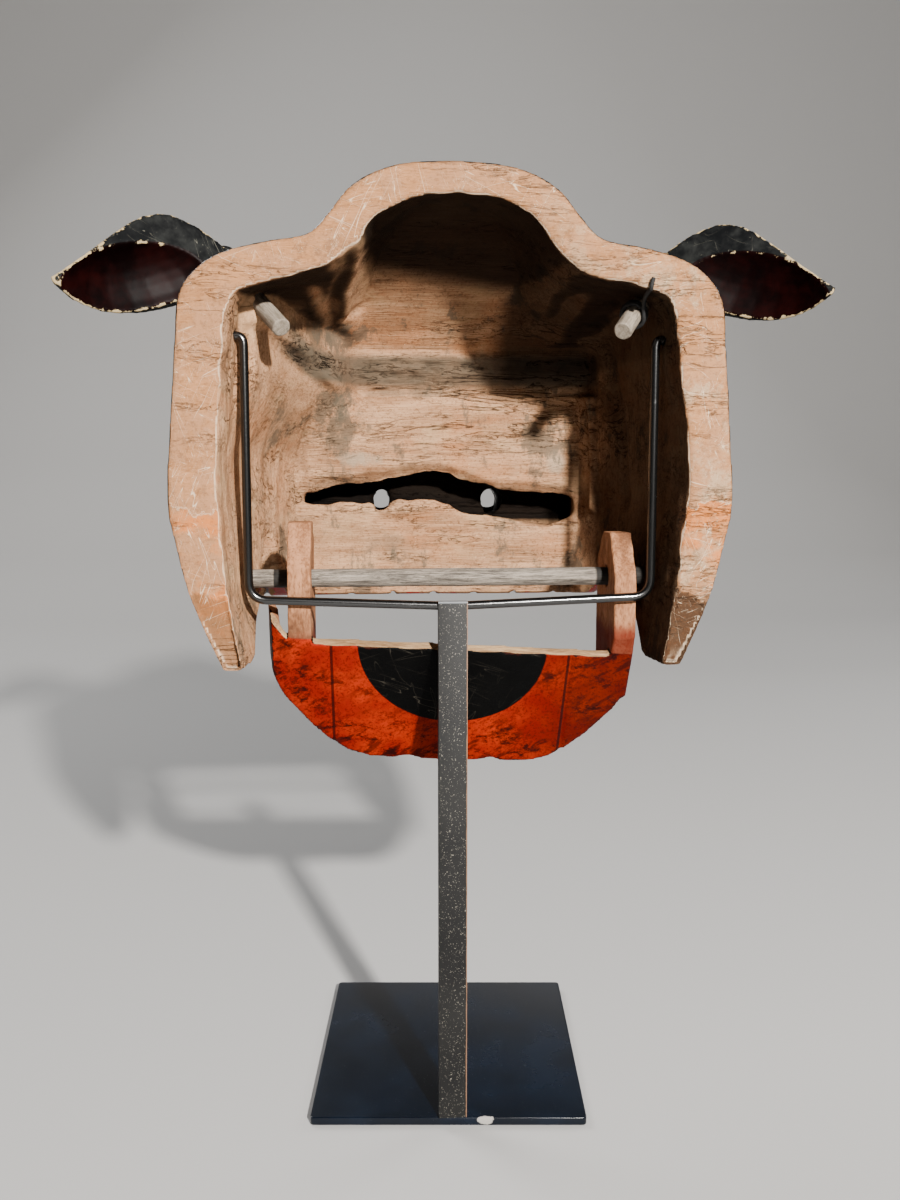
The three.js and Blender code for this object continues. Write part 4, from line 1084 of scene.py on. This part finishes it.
set_height(tree, shader, speckle(tree, spot, (240.0, 240.0, 240.0), 3.0, 0.6), 0.12, 0.0003)
shader.inputs["Specular IOR Level"].default_value = 0.32
plate.data.materials.append(plate_finish)
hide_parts("stand_plate")
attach(plate, "head")

bar = eased_copy("stand_bar", "stand_bar_steel", 0.0008)
bar_finish, tree, shader, spot, cloud, dust, colour = speckled_steel(
    "bar_steel", paint(15, 15, 15), paint(26, 26, 25), paint(132, 128, 118), 0.08
)
axes = add_node(tree, "SeparateXYZ", {0: spot}).outputs
right_edge = fade(tree, maths(tree, "ADD", axes["X"], maths(tree, "MULTIPLY", speckle(tree, spot, (500.0, 500.0, 60.0)), 0.0016)), 0.0100, 0.0104)
colour = mix(tree, right_edge, colour, paint(110, 82, 62))
top_rub = fade(tree, axes["Z"], 0.3795, 0.3808)
colour = mix(tree, maths(tree, "MULTIPLY", top_rub, 0.6), colour, paint(140, 144, 148))
tree.links.new(colour, shader.inputs["Base Color"])
tree.links.new(maths(tree, "ADD", maths(tree, "MULTIPLY", cloud, 0.3), 0.42), shader.inputs["Roughness"])
shader.inputs["Specular IOR Level"].default_value = 0.3
set_height(tree, shader, speckle(tree, spot, (900.0, 900.0, 900.0), 3.0, 0.6), 0.35, 0.0003)
bar.data.materials.append(bar_finish)
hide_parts("stand_bar")
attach(bar, "head")


# Wire
# Round steel wire, bent cold into a shallow cradle: both ends turn into the side walls, and its
# middle is welded through the top of the bar. Satin black, rubbed bright in places.
WIRE = {"radius": 0.003, "y": -0.095, "foot_x": 0.137, "low": 0.3775, "rise": 0.005, "bend": 0.014}
HOOK = {"x": 0.1365, "wall": 0.151, "z": 0.556, "bend": 0.007}


def bend_between(start, corner, end, steps=12):
    """Points round a bend, start and end left out"""
    made = []
    for i in range(1, steps):
        t = i / steps
        made.append(start * (1 - t) ** 2 + corner * (2 * t * (1 - t)) + end * t**2)
    return made


def wire_half(side):
    def at(x, z):
        return Vector((x * side, WIRE["y"], z))

    run_z = WIRE["low"] + WIRE["rise"]
    hook_start = at(HOOK["x"] + HOOK["bend"] * 0.6, HOOK["z"])
    leg_top = at(HOOK["x"], HOOK["z"] - HOOK["bend"])
    leg_foot = at(WIRE["foot_x"], run_z + WIRE["bend"])
    run_end = at(WIRE["foot_x"] - WIRE["bend"], run_z)
    points = [at(HOOK["wall"], HOOK["z"]), hook_start]
    points += bend_between(hook_start, at(HOOK["x"], HOOK["z"]), leg_top)
    points += [leg_top, leg_foot]
    points += bend_between(leg_foot, at(WIRE["foot_x"], run_z), run_end)
    return points + [run_end]


wire_route = wire_half(1.0) + [Vector((0.0, WIRE["y"], WIRE["low"]))] + wire_half(-1.0)[::-1]
wire = swept_round("stand_wire_steel", wire_route, WIRE["radius"], 24)
wire_finish, tree, shader = new_material("wire_steel")
spot = object_place(tree)
rub = fade(tree, speckle(tree, spot, (60.0, 60.0, 60.0), 5.0, 0.7), 0.6, 0.75)
tree.links.new(mix(tree, maths(tree, "MULTIPLY", rub, 0.4), paint(16, 16, 16), paint(60, 59, 57)), shader.inputs["Base Color"])
tree.links.new(maths(tree, "ADD", maths(tree, "MULTIPLY", rub, 0.2), 0.2), shader.inputs["Roughness"])
set_height(tree, shader, speckle(tree, spot, (500.0, 500.0, 500.0), 3.0, 0.6), 0.2, 0.0003)
shader.inputs["Specular IOR Level"].default_value = 0.9
wire.data.materials.append(wire_finish)
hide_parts("stand_wire")
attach(wire, "head")
